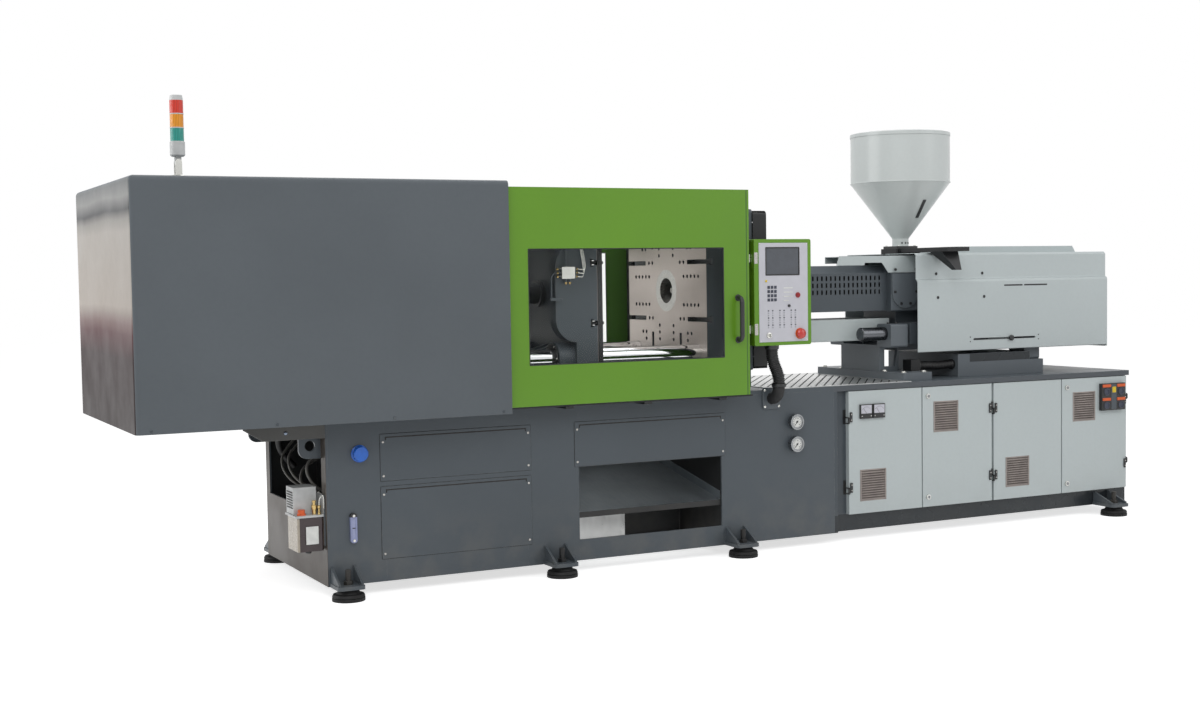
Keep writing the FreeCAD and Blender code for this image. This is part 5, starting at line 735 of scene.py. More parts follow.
class Piece:
    """One new piece of the machine: closed surfaces gathered into a single mesh."""

    def __init__(self, name: str, body: str, coat: Coat) -> None:
        """Starts a piece.

        Args:
            name: Name of the object.
            body: Body that it rides on.
            coat: Finish of its surfaces where none is given.
        """
        self.name, self.body, self.coat = name, body, coat
        self.points: list[Array] = []
        self.faces: list[list[int]] = []
        self.marks: list[int] = []
        self.coats: list[bpy.types.Material] = []
        self.total = 0

    def add(self, grid: Array, coat: Coat | None = None, loop: bool = False) -> None:
        """Adds a closed surface.

        Neighbouring rings of the grid are joined by quads and each ring closes on itself. The first and last ring
        get a cap, or with loop they are joined too.

        Args:
            grid: Rings of points (rings, points, 3) in station, y and z.
            coat: Finish of the surface.
            loop: Whether the last ring joins the first.
        """
        rings, count, _ = grid.shape
        index = np.arange(rings * count).reshape(rings, count) + self.total
        rows = np.vstack([index, index[:1]]) if loop else index
        a, b = rows[:-1], rows[1:]
        faces = np.stack([a, np.roll(a, -1, 1), np.roll(b, -1, 1), b], -1).reshape(-1, 4).tolist()
        if not loop:
            faces += [index[0][::-1].tolist(), index[-1].tolist()]
        paint = (coat or self.coat).material()
        if paint not in self.coats:
            self.coats.append(paint)
        self.points.append(grid.reshape(-1, 3))
        self.faces += faces
        self.marks += [self.coats.index(paint)] * len(faces)
        self.total += rings * count

    def plate(self, a: Span, b: Span, depths: Span, coat: Coat | None = None, radius: float = 2.0,
              edge: float = 0.5, axis: str = "y", steps: int = 4) -> None:
        """Adds a plate with round corners.

        Args:
            a: Low and high of its first coordinate square to the axis.
            b: Low and high of the second.
            depths: Low and high along the axis.
            coat: Finish of the plate.
            radius: Corner radius.
            edge: Chamfer.
            axis: Axis of the thickness.
            steps: Points a corner.
        """
        self.add(slab(outline_round(a, b, radius, steps), depths, edge, axis), coat)

    def spin(self, profile: Profile, start: Point | Array, axis: Point, count: int, coat: Coat | None = None,
             loop: bool = False, flip: Point = NEAR) -> None:
        """Adds a surface of revolution.

        Args:
            profile: Radius and distance along the axis of each ring.
            start: Point at distance 0.
            axis: Direction of the axis.
            count: Points a ring.
            coat: Finish of the surface.
            loop: Whether the last ring joins the first.
            flip: Factors on station, y and z, which put it on the other side of the machine.
        """
        self.add(turned(profile, start, axis, count) * flip, coat, loop)

    def both_sides(self, grid: Array, places: list[Point]) -> None:
        """Adds copies of a surface, each moved by one place, and the same on the other side of the machine."""
        for flip in (NEAR, FAR):
            for place in places:
                self.add((grid + place) * flip)

    def make(self, replaces: tuple[str, ...] = ()) -> bpy.types.Object:
        """Makes the object, its faces turned outwards and its steep edges kept sharp.

        Args:
            replaces: CAD nodes that it stands for.

        Returns:
            The object, riding on its body.
        """
        mesh = bpy.data.meshes.new(self.name)
        mesh.from_pydata(metres(np.vstack(self.points)).tolist(), [], self.faces)
        for paint in self.coats:
            mesh.materials.append(paint)
        mesh.polygons.foreach_set("material_index", self.marks)
        mesh.polygons.foreach_set("use_smooth", [True] * len(self.faces))
        work = bmesh.new()
        work.from_mesh(mesh)
        bmesh.ops.recalc_face_normals(work, faces=work.faces)
        work.to_mesh(mesh)
        work.free()
        mesh.set_sharp_from_angle(angle=np.radians(SHARP_ANGLE))
        made = bpy.data.objects.new(self.name, mesh)
        bpy.context.scene.collection.objects.link(made)
        if self.body:
            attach(made, self.body)
        if replaces:
            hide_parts(*replaces)
        log.info("piece %s on %s, %d faces", self.name, self.body, len(mesh.polygons))
        return made


def dress(node: str, coat: Coat | bpy.types.Material, *zones: Zone) -> None:
    """Gives a CAD node a finish, with other finishes in zones.

    Args:
        node: Name of the node.
        coat: Finish, or a material.
        *zones: Zones with finishes of their own.
    """
    paint = coat.material(*zones) if isinstance(coat, Coat) else coat
    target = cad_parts[node]
    for slot in target.material_slots:
        slot.material = paint
    log.info("node %s in %s", node, paint.name)


def across(low: float, high: float, side: float) -> Span:
    """A span of y on the operator's side, or with side -1 the span that mirrors it."""
    return (low, high) if side > 0 else (-high, -low)


def stand(name: str, data: bpy.types.ID, axes: tuple[Array, Array, Array], place: Point) -> bpy.types.Object:
    """Puts a camera or a lamp into the scene.

    Args:
        name: Name of the object.
        data: Camera or lamp.
        axes: Its right, its up and the way it looks away from.
        place: Its place in metres.

    Returns:
        The object.
    """
    made = bpy.data.objects.new(name, data)
    turn = np.eye(4)
    turn[:3] = np.stack([*axes, place], 1)
    made.matrix_world = Matrix(turn.tolist())
    bpy.context.scene.collection.objects.link(made)
    return made


# ---- Sub-assemblies ----------------------------------------------------------------------------------------


@dataclass
class Base:
    """Welded base with its bolted panels, feet, tray and deck cover."""

    panels: tuple = ((1050.0, 710.0, 147.0, 313.0), (1050.0, 710.0, 484.0, 203.0), (1980.0, 803.0, 482.0, 205.0))
    panel_front: float = -475.0
    screw_radius: float = 5.5
    screw_inset: float = 13.0
    rail_side: float = 330.0
    foot_stations: tuple = (874.0, 1876.0, 2838.0, 5231.0)
    foot_side: float = 540.0
    foot_bands: tuple = ((Coat.RUBBER, 74, -1.0, 44.2), (Coat.ZINC, 22, 44.2, 50.0),
                         (Coat.BLACK, 22, 66.5, 190.0))
    hose_radius: float = 6.0
    hose_runs: tuple = (
        ((900, -250, 765), (890, -262, 640), (780, -300, 560), (800, -330, 470), (930, -320, 400)),
        ((960, -120, 765), (930, -110, 600), (800, -160, 520), (790, -240, 440), (930, -260, 370)),
        ((900, 60, 765), (870, 70, 640), (790, 20, 560), (800, -60, 470), (940, -80, 380)),
        ((960, 240, 765), (900, 250, 640), (810, 200, 540), (820, 120, 450), (940, 100, 370)),
    )
    drain_radius: float = 15.0
    drain_run: tuple = ((900, 150, 765), (850, 230, 730), (835, 320, 670), (850, 380, 560), (920, 390, 470))
    bracket: tuple = ((460.0, 737.0), (543.0, 686.0), (807.0, 686.0), (807.0, 757.0), (460.0, 757.0))
    # The second splash sheet's near-black is painted shade under the tray.
    sheets: tuple = ((2001.0, 2450.0, -64.0, Coat.SHEET), (2438.0, 2762.0, -60.0, Coat.NEAR_BLACK_AND_SHADE))
    sheet_span: Span = (60.0, 345.0)

    def dress(self) -> None:
        """Slate paint on the base, rubber pads under steel studs, bright slotted deck cover; painted shade inside
        the base, under the deck, on the tray's front and on the set-back skirt and frame post, and painted light
        and shade by height on its end wall.
        """
        # Painted light and shade by height on the base's left end wall.
        end = Coat.BASE_END_SHADING.zone((805.0, -480.0, 40.0), (808.5, 480.0, 790.0))
        # Near-black inside the clamp base: painted shade in its hollow.
        dark = Coat.NEAR_BLACK_AND_SHADE.zone((816.0, -463.0, 40.0), (3412.0, 463.0, 766.0))
        # Near-black just under the slotted deck: painted shade, so the slots look dark.
        under = Coat.NEAR_BLACK_AND_SHADE.zone((3086.0, -450.0, 784.0), (3919.0, 450.0, 786.0))
        rails = [Coat.STEEL.zone((800.0, y - 31.0, 799.0), (3010.0, y + 31.0, 801.0))
                 for y in (-self.rail_side, self.rail_side)]
        dress("clamp_base", Coat.SLATE, end, dark, under, *rails)
        # Near-black inside the injection base: painted shade.
        inside = Coat.NEAR_BLACK_AND_SHADE.zone((3440.0, -441.0, 60.0), (5399.0, 460.0, 756.0))
        # Darker skirt under the doors and darker frame post beside them: painted shade, as they sit set back.
        plinth_shade = Coat.PLINTH_SHADE.zone((3421.0, -474.0, 40.0), (5412.0, -440.0, 136.0))
        recess_shade = Coat.RECESS_SHADE.zone((3421.0, -474.0, 136.0), (3505.0, -440.0, 757.0))
        head = Coat.HEAD.zone((3421.0, -474.0, 756.0), (5412.0, -440.0, 784.0))
        hinges = [Coat.BLACK.zone((x - 14.0, -500.0, z - 36.0), (x + 14.0, -440.0, z + 36.0))
                  for x in (3508.0, 4440.0, 5397.0) for z in HINGE_HEIGHTS]
        dress("injection_base", Coat.SLATE, inside, plinth_shade, recess_shade, head, under, *hinges)
        dress("access_panels", Coat.SLATE)
        # Near-black on the tray's front face: painted shade.
        dress("discharge_tray", Coat.TRAY, Coat.NEAR_BLACK_AND_SHADE.zone((1900.0, -462.0, 200.0), (2900.0, -459.6, 400.0)))
        dress("deck_cover", Coat.SHEET)
        feet = [coat.disc(x, y, radius, (low, high), "z") for x in self.foot_stations
                for y in (-self.foot_side, self.foot_side) for coat, radius, low, high in self.foot_bands]
        dress("feet", Coat.SLATE, *feet)

    def screws(self) -> None:
        """Button screws near the corners of each panel, both sides of the base."""
        piece = Piece("panel_screws", "frame", Coat.STEEL)
        places = [(x, self.panel_front, z) for start, length, sill, height in self.panels
                  for x in (start + self.screw_inset, start + length - self.screw_inset)
                  for z in (sill + 22.0, sill + height - 34.0)]
        head = turned(sized(SCREW, self.screw_radius), (0, 0, 0), FRONT, 14)
        piece.both_sides(head, places)
        piece.make()

    def slots(self) -> None:
        """Dark pull slots with ends bent down, and the shadow line round each panel, both sides of the base; both
        are near-black plates of painted shade.
        """
        piece = Piece("panel_slots", "frame", Coat.RUBBER)
        gap, bottom, rise = 1.6, -472.4, -473.4
        margin, drop, tall, bend, corner = 22.0, 11.5, 6.0, 16.0, 2.5
        for start, length, sill, height in self.panels:
            x, top = (start + margin, start + length - margin), sill + height - drop
            outer = outline_round((start - gap, start + length + gap), (sill - gap, sill + height + gap), 5.0)
            line = stacked(outer, [(bottom, 0.0), (rise, 0.0), (rise, 2.6), (bottom, 2.6)])
            for side in (1.0, -1.0):
                y = across(-475.4, -473.6, side)
                piece.add(line * (1.0, side, 1.0), loop=True)
                piece.plate(x, (top - tall, top), y, radius=corner)
                for end in (x[0], x[1] - tall):
                    piece.plate((end, end + tall), (top - bend, top - tall / 2), y, radius=corner)
        piece.make()

    def brackets(self) -> None:
        """Cut-cornered bracket with a flange that carries the overhanging cover, and its bolt, on each side."""
        piece = Piece("cover_brackets", "frame", Coat.BRACKET)
        for side in (1.0, -1.0):
            piece.add(slab(np.array(self.bracket), across(-478.0, -472.0, side)))
            piece.plate((460.0, 807.0), across(-560.0, -478.0, side), (752.7, 756.7), axis="z")
            piece.spin(sized(DOME, 8.0, 7.0), (638.0, -478.0, 716.0), FRONT, 16, Coat.BOLT, flip=(1.0, side, 1.0))
        piece.make()

    def hoses(self) -> None:
        """Hydraulic hoses that loop in the open end bay, each with crimped steel ends."""
        piece = Piece("bay_hoses", "frame", Coat.BAY_HOSE)
        for run in self.hose_runs:
            path, _ = even_path(smooth_path(run), 14.0)
            piece.add(tube(path, self.hose_radius, 16))
            for end in (path[:5], path[-5:]):
                piece.add(tube(end, self.hose_radius + 2.0, 16), Coat.ZINC)
        piece.add(tube(smooth_path(self.drain_run), self.drain_radius, 18), Coat.HOSE)
        piece.plate((296.0, 405.0), (655.0, 764.0), (835.0, 925.0), Coat.BAY_BLOCK, 4.0, 2.0, "x")
        piece.make()

    def baffle(self) -> None:
        """Folded splash sheets under the discharge tray, a bright one and a dark one whose near-black is painted
        shade, each with its foot flange.
        """
        piece = Piece("bay_baffle", "frame", Coat.SHEET)
        sheet, flange = 1.5, 30.0
        low = self.sheet_span[0]
        for start, end, y, coat in self.sheets:
            piece.plate((start, end), self.sheet_span, (y, y + sheet), coat, 3.0, 0.3)
            piece.plate((start, end), (y - flange, y), (low, low + sheet), coat, 3.0, 0.3, "z")
        piece.make()

    def build(self) -> None:
        """Makes every fine part of the base."""
        self.dress()
        self.screws()
        self.slots()
        self.brackets()
        self.hoses()
        self.baffle()


@dataclass
class Instruments:
    """Pressure gauges, level gauge, filler cap and lubricator on the base."""

    gauge_station: float = 3178.0
    gauge_heights: Span = (514.0, 623.0)
    gauge_radius: float = 25.0
    gauge_face: float = -503.5
    level: Span = (922.0, 294.0)

    def dress(self) -> None:
        """Steel gauges, blue cap, and the lubricator's box, lid and see-through tank."""
        x = self.level[0]
        dress("gauges", Coat.BEZEL, Coat.LEVEL.zone((x - 16, -490.0, 225.0), (x + 16, -472.0, 341.0)),
              Coat.BLACK_PLASTIC.zone((x - 16, -490.0, 341.0), (x + 16, -472.0, 363.0)))
        dress("filler_cap", Coat.BLUE)
        tank = Coat.RESERVOIR.zone((680.0, -452.0, 203.0), (801.0, -298.0, 349.5))
        shade = Coat.RESERVOIR_DARK.zone((696.0, -460.0, 203.0), (801.0, -446.0, 349.5))
        cap = Coat.ORANGE.zone((690.0, -449.0, 359.5), (732.0, -407.0, 390.0), "z")
        outlet = Coat.BRASS.zone((752.0, -443.0, 359.5), (782.0, -413.0, 400.0), "z")
        plate = Coat.SLATE.zone((800.2, -460.0, 220.0), (808.0, -290.0, 460.0))
        dress("lubricator", Coat.GREY_PLASTIC, tank, shade, cap, outlet, plate)

    def dials(self) -> None:
        """Gauge dials: a white plate, ticks on an arc of 270 degrees, a needle and a hub."""
        piece = Piece("gauge_dials", "frame", Coat.DIAL)
        for height in self.gauge_heights:
            centre = np.array((self.gauge_station, self.gauge_face, height))
            piece.spin([(1, 0), (self.gauge_radius, 0), (self.gauge_radius, 0.6), (1, 0.6)], centre, FRONT, 40)
            for i in range(11):
                turn = np.radians(225 - 27 * i)
                way = np.array((np.cos(turn), 0, np.sin(turn)))
                long = 7.0 if i % 5 == 0 else 4.5
                outer = self.gauge_radius - 3
                ends = np.array([centre + way * (outer - long), centre + way * outer])
                piece.add(tube(ends + (0, -0.9, 0), 0.9, 6), Coat.BLACK_PLASTIC)
            way = np.array((-0.5, 0, -0.62))
            needle = np.array([centre - way * 9, centre + way * 26]) + (0, -2.2, 0)
            piece.add(tube(needle, np.array([2.0, 0.5]), 6), Coat.BLACK_PLASTIC)
            piece.spin(sized(DOME, 4.5, 4.0), centre + (0, -0.6, 0), FRONT, 14, Coat.BLACK_PLASTIC)
        piece.make()

    def level_window(self) -> None:
        """Sight glass of the level gauge with two bolts, and its float line."""
        x, z = self.level
        piece = Piece("level_window", "frame", Coat.LEVEL)
        piece.plate((x - 8.5, x + 8.5), (z - 44, z + 44), (-485.0, -482.0), radius=6.5, edge=0.8, steps=5)
        piece.plate((x - 7.5, x + 7.5), (z - 2, z + 2), (-486.0, -482.5), Coat.BLACK_PLASTIC, 1.5, 0.4, steps=5)
        for side in (-1, 1):
            piece.spin(sized(HEX, 6.5), (x, -486.5, z + side * 53), FRONT, 6, Coat.ZINC)
        piece.make()

    def lubricator(self) -> None:
        """Lubricator: label field, louvred pump side, brass fittings with a pipe, lid screws and a drain plug."""
        piece = Piece("lubricator_fittings", "frame", Coat.ZINC)
        piece.plate((722, 776), (236, 312), (-455.2, -453.6), Coat.DIAL, 2.0, 0.3, steps=5)
        for i in range(7):
            z = 384 + i * 11.0
            piece.plate((-392, -310), (z, z + 5), (682.2, 685.4), Coat.BLACK_PLASTIC, 2.0, 0.5, axis="x")
        piece.spin([(8, 0), (8, 9), (5, 9), (5, 26), (8, 28), (8, 38), (3, 40)], (785, -440, 359), UP, 6,
                   Coat.BRASS)
        pipe = smooth_path([(785, -440, 396), (786, -446, 425), (798, -452, 440), (802, -455, 420),
                            (800, -458, 385)])
        piece.add(tube(pipe, 2.6, 8))
        piece.spin([(7, 0), (7, 14), (9, 14), (9, 20), (3, 20)], (767, -428, 399), UP, 12, Coat.BRASS)
        for x in (687, 795):
            for y in (-447, -303):
                piece.spin(sized(SCREW, 3.5), (x, y, 359.0), UP, 10)
        piece.spin([(3, 0), (13, 0), (13, 9), (8, 12), (3, 12)], (740, -420, 205), DOWN, 18, Coat.BLACK_PLASTIC)
        piece.make()

    def build(self) -> None:
        """Makes every fine part of the instruments."""
        self.dress()
        self.dials()
        self.level_window()
        self.lubricator()


@dataclass
class Cabinet:
    """Four cabinet doors with vents, locks, meters and a socket block."""

    divisions: tuple = (3505.0, 3973.0, 4440.0, 4920.0, 5400.0)
    front: float = -468.8
    skin: float = -469.2
    vents: tuple = ((3586.5, 203.0), (4053.5, 525.0), (4534.5, 204.0), (5007.5, 527.0))
    vent_size: Span = (148.0, 146.0)
    lock_heights: Span = (186.0, 708.0)
    lock_inset: float = 36.0
    meter_places: Span = (3577.0, 3657.0)

    def dress(self) -> None:
        """Pale doors, warm louvres, black hinges and plastic instruments."""
        wide, tall = self.vent_size
        for i, (x, z) in enumerate(self.vents):
            edge, lock = self.divisions[i + i % 2], self.divisions[i] + self.lock_inset
            zones = [Coat.LOUVRE.zone((x - 7, -480.0, z - 7), (x + wide + 7, -455.0, z + tall + 7))]
            zones += [Coat.BLACK.zone((edge - 14, -490.0, height - 34), (edge + 14, -469.4, height + 34))
                      for height in HINGE_HEIGHTS]
            if i % 2:
                zones += [Coat.ZINC.disc(lock, height, 13.5, (-480.0, self.skin), "y")
                          for height in self.lock_heights]
            if i == 0:
                zones.append(Coat.BLACK_PLASTIC.zone((3576, -482.0, 613.0), (3730.0, self.skin, 687.0)))
            if i == 3:
                zones.append(Coat.BLACK_PLASTIC.zone((5191, -492.0, 570.0), (5366.0, self.skin, 720.0)))
            dress(f"cabinet_door_{i + 1}", Coat.WHITE, *zones)

    def hinges(self, door: int) -> None:
        """Black hinge leaves on a door, beside the knuckles, each with two screws.

        Args:
            door: Number of the door, from 1.
        """
        piece = Piece(f"cabinet_hinges_{door}", f"cabinet_door_{door}", Coat.BLACK_PLASTIC)
        edge = self.divisions[door - door % 2]
        x, front = (edge + 12.5, edge + 26.0) if door % 2 else (edge - 26.0, edge - 12.5), -476.5
        for height in HINGE_HEIGHTS:
            piece.plate(x, (height - 25.0, height + 25.0), (front, self.front + 0.1), radius=3.0, edge=1.2)
            for dz in (-14.0, 14.0):
                piece.spin(sized(SCREW, 3.2), (sum(x) / 2, front, height + dz), FRONT, 8, Coat.STEEL)
        piece.make()

    def locks(self, door: int) -> None:
        """Quarter-turn locks: a milled insert with a slot across a dished collar.

        Args:
            door: Number of the door, from 1.
        """
        piece = Piece(f"cabinet_locks_{door}", f"cabinet_door_{door}", Coat.ZINC)
        x, front = self.divisions[door - 1] + self.lock_inset, self.front - 9.0
        for z in self.lock_heights:
            piece.spin([(9.0, -1.0), (9.0, 1.0), (7.5, 2.0), (2.0, 1.2)], (x, front, z), FRONT, 20, Coat.BEZEL)
            slot = outline_round((x - 1.5, x + 1.5), (z - 6.5, z + 6.5), 1.2, 3)
            piece.add(slab(slot, (front - 2.6, front - 0.5), 0.3), Coat.BLACK_PLASTIC)
        piece.make()

    def meters(self) -> None:
        """Two square meters: white scale over a black lower half, a needle and ticks on an arc."""
        piece = Piece("cabinet_meters", "cabinet_door_1", Coat.SCALE)
        for start in self.meter_places:
            x = (start + 4.0, start + 68.0)
            face = self.front - 12.0
            piece.plate(x, (640.0, 682.0), (face - 1.0, face + 0.5), radius=2.0, edge=0.4, steps=5)
            piece.plate(x, (617.0, 637.0), (face - 1.6, face + 0.5), Coat.BLACK_PLASTIC, 2.0, 0.4, steps=5)
            middle = np.array(((x[0] + x[1]) / 2, face - 1.2, 641.0))
            turn = np.radians(np.linspace(140, 40, 9))
            for a in turn:
                way = np.array((np.cos(a), 0, np.sin(a)))
                piece.add(tube(np.array([middle + way * 30, middle + way * 35]), 0.6, 5), Coat.BLACK_PLASTIC)
            way = np.array((np.cos(turn[1]), 0, np.sin(turn[1])))
            piece.add(tube(np.array([middle, middle + way * 31]) + (0, -0.5, 0), 0.7, 5), Coat.BLACK_PLASTIC)
            for s in (x[0] + 4, x[1] - 4):
                piece.spin(sized(SCREW, 2.4), (s, face - 1.4, 627.0), FRONT, 8, Coat.ZINC)
        piece.make()

    def sockets(self) -> None:
        """Socket block: four dark modules with orange tops, a round socket each and a yellow key between."""
        piece = Piece("cabinet_sockets", "cabinet_door_4", Coat.BLACK_PLASTIC)
        face, top = self.front - 22.0, 48.0
        for x0 in (5196.0, 5302.0):
            for z0 in (575.0, 649.0):
                x = (x0, x0 + 60.0)
                piece.plate(x, (z0, z0 + top), (face - 1.5, face + 4), radius=4.0, edge=1.0, steps=5)
                piece.plate(x, (z0 + top + 1, z0 + top + 17), (face - 5.0, face + 4), Coat.ORANGE, 3.0, 1.5,
                            steps=5)
                middle = (x0 + 30.0, face - 1.2, z0 + 24.0)
                piece.spin([(20, 0), (20, 4), (16.5, 4), (15.5, 0.4), (2, 0.4)], middle, FRONT, 24, Coat.KEY)
        piece.plate((5260, 5298), (577.0, 713.0), (face - 2.5, face + 4), Coat.SLATE, 3.0, 1.0, steps=5)
        piece.plate((5266, 5292), (668.0, 700.0), (face - 5.5, face), Coat.YELLOW, 3.0, 1.5, steps=5)
        piece.make()

    def build(self) -> None:
        """Makes every fine part of the cabinet."""
        self.dress()
        for door in (1, 2, 3, 4):
            self.hinges(door)
        self.locks(2)
        self.locks(4)
        self.meters()
        self.sockets()


@dataclass
class ControlPanel:
    """Swinging control panel: screen, keys, lamps and switches on a pale face, conduit below."""

    left: float = 2902.0
    top: float = 1514.0
    face: float = -562.0
    skin: float = -562.2
    key: float = 14.0
    columns: tuple = (78.0, 102.0, 143.0, 167.0, 208.0, 232.0)
    glass: tuple = (64.0, 39.0, 257.0, 173.0)
    stop: Span = (258.0, 455.0)
    conduit: tuple = ((3017.0, -532.0, 985.0), (3018.0, -532.5, 952.0), (3026.0, -535.0, 915.0),
                      (3038.0, -539.5, 882.0), (3047.0, -542.0, 848.0), (3048.0, -542.5, 819.0))

    def at(self, x: float, z: float) -> Span:
        """Station and height of a place given from the panel's upper left corner."""
        return self.left + x, self.top - z

    def screen_span(self) -> tuple[Span, Span]:
        """Stations and heights of the screen."""
        (x0, z1), (x1, z0) = self.at(*self.glass[:2]), self.at(*self.glass[2:])
        return (x0, x1), (z0, z1)

    def dress(self) -> None:
        """Green housing, pale face, silver hinges, red mushroom on a dark stem."""
        grip = [Coat.ZINC.zone((2878.0, -545.0, z - 22), (2901.5, -520.0, z + 22)) for z in (1424.0, 1084.0)]
        gland = Coat.BLACK_PLASTIC.disc(3017.0, -532.0, 40.0, (980.0, 1004.6), "z")
        dress("panel_housing", Coat.GREEN, *grip, gland)
        (x0, x1), (z0, z1) = self.screen_span()
        screen = Coat.SCREEN.zone((x0, -563.0, z0), (x1, -559.5, z1))
        x, z = self.at(73, 223)
        keys = Coat.KEY.zone((x - 2, -566.0, z - 76), (x + 55, -562.3, z + 2))
        knob = Coat.DARK_RED.disc(*self.at(246, 269), 14, (-575.0, self.skin), "y")
        switch = Coat.ZINC.disc(*self.at(80, 460), 15, (-585.0, self.skin), "y")
        dress("panel_face", Coat.FACE, screen, keys, knob, switch)
        dress("emergency_stop", Coat.RED,
              Coat.BLACK_PLASTIC.disc(*self.at(*self.stop), 13, (-570.0, -545.0), "y"))
        dress("conduit_elbow", Coat.RUBBER, Coat.SLATE.zone((2990.0, -480.6, 690.0), (3105.0, -471.0, 800.0)))

    def screen(self) -> None:
        """Screen: a dark border frame round a slightly sunk sheet of glass."""
        piece = Piece("panel_screen", "panel", Coat.BLACK_PLASTIC)
        (x0, x1), (z0, z1) = self.screen_span()
        outer = outline_round((x0 - 1, x1 + 1), (z0 - 1, z1 + 1), 4.0)
        back, rise = self.face + 1.8, self.face - 1.2
        piece.add(stacked(outer, [(back, 0.0), (rise, 0.0), (rise, 5.0), (back, 6.5)]), loop=True)
        piece.add(slab(inset(outer, 5.5), (self.face + 0.6, self.face + 1.9), 0.4), Coat.SCREEN)
        piece.make()

    def keys(self) -> None:
        """Keypad caps with domed tops, six columns of small keys, lamp, button and legend bars."""
        piece = Piece("panel_keys", "panel", Coat.KEY)
        for column in range(3):
            for row in range(4):
                x, z = self.at(73 + column * 19, 223 + row * 20)
                cap = outline_round((x + 0.8, x + self.key - 0.8), (z - self.key + 0.8, z - 0.8), 2.5, 4)
                piece.add(slab(cap, (self.face - 3.4, self.face - 1.0), 1.2))
        for column in self.columns:
            for row in range(8):
                x, z = self.at(column, 342 + row * 11.5)
                cap = outline_round((x - 3.6, x + 3.6), (z - 3.0, z + 3.0), 1.2, 3)
                piece.add(slab(cap, (self.face - 1.6, self.face + 0.5), 0.6),
                          Coat.PALE_KEY if row % 3 else Coat.KEY)
        x, z = self.at(66, 200)
        piece.spin(sized(DOME, 6.0, 5.0), (x, self.face, z), FRONT, 16, Coat.YELLOW)
        x, z = self.at(195, 320)
        piece.spin([(7, 0), (7, 3), (5, 4), (5, 9), (1, 10)], (x, self.face, z), FRONT, 14, Coat.BLACK_PLASTIC)
        for drop, wide in ((232, 52), (252, 52), (272, 52), (292, 30)):
            x, z = self.at(166, drop)
            bar = outline_round((x, x + wide), (z - 5, z), 1.5, 3)
            piece.add(slab(bar, (self.face - 0.7, self.face + 0.5), 0.25), Coat.DIAL)
        piece.make()

    def trims(self) -> None:
        """Ring of the stop button, face screws and the hinge leaves on the housing."""
        piece = Piece("panel_trims", "panel", Coat.ZINC)
        x, z = self.at(*self.stop)
        ring = [(14, 0), (27, 0), (27, 1.0), (25, 1.6), (14, 1.6)]
        piece.spin(ring, (x, self.face, z), FRONT, 32, Coat.ORANGE, loop=True)
        for a, b in ((32, 24), (32, 486), (299, 24), (299, 486)):
            x, z = self.at(a, b)
            piece.spin(sized(SCREW, 3.4), (x, self.face, z), FRONT, 10)
        for drop in (90.0, 430.0):
            x, z = self.at(0, drop)
            piece.plate((x + 0.5, x + 20.0), (z - 27, z + 27), (self.skin, -559.8), Coat.STEEL, 3.0, 0.6, steps=5)
            for hole in (-16, 16):
                piece.spin(sized(SCREW, 3.6), (x + 10, self.face, z + hole), FRONT, 10, Coat.STEEL)
        piece.make()

    def hose(self) -> None:
        """Corrugated conduit that bends between the base and the panel."""
        piece = Piece("conduit_hose", "", Coat.HOSE)
        piece.add(ribbed(smooth_path(list(self.conduit)), 26.0, 30.0, 9.0, 28))
        made = piece.make(replaces=("conduit",))
        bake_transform(made)

    def flange(self) -> None:
        """Screws of the elbow's flange and the nut of its collar."""
        piece = Piece("conduit_flange", "frame", Coat.ZINC)
        for dx in (-40, 40):
            for dz in (-40, 40):
                piece.spin(sized(SCREW, 6.5), (3048 + dx, -480.5, 745 + dz), FRONT, 14)
        collar = [(30, 0), (35, 1), (35, 12), (33, 15), (27, 15)]
        piece.spin(collar, (3048, -542.5, 804), UP, 20, Coat.BLACK_PLASTIC)
        piece.make()

    def build(self) -> None:
        """Makes every fine part of the panel and its conduit."""
        self.dress()
        self.screen()
        self.keys()
        self.trims()
        self.hose()
        self.flange()


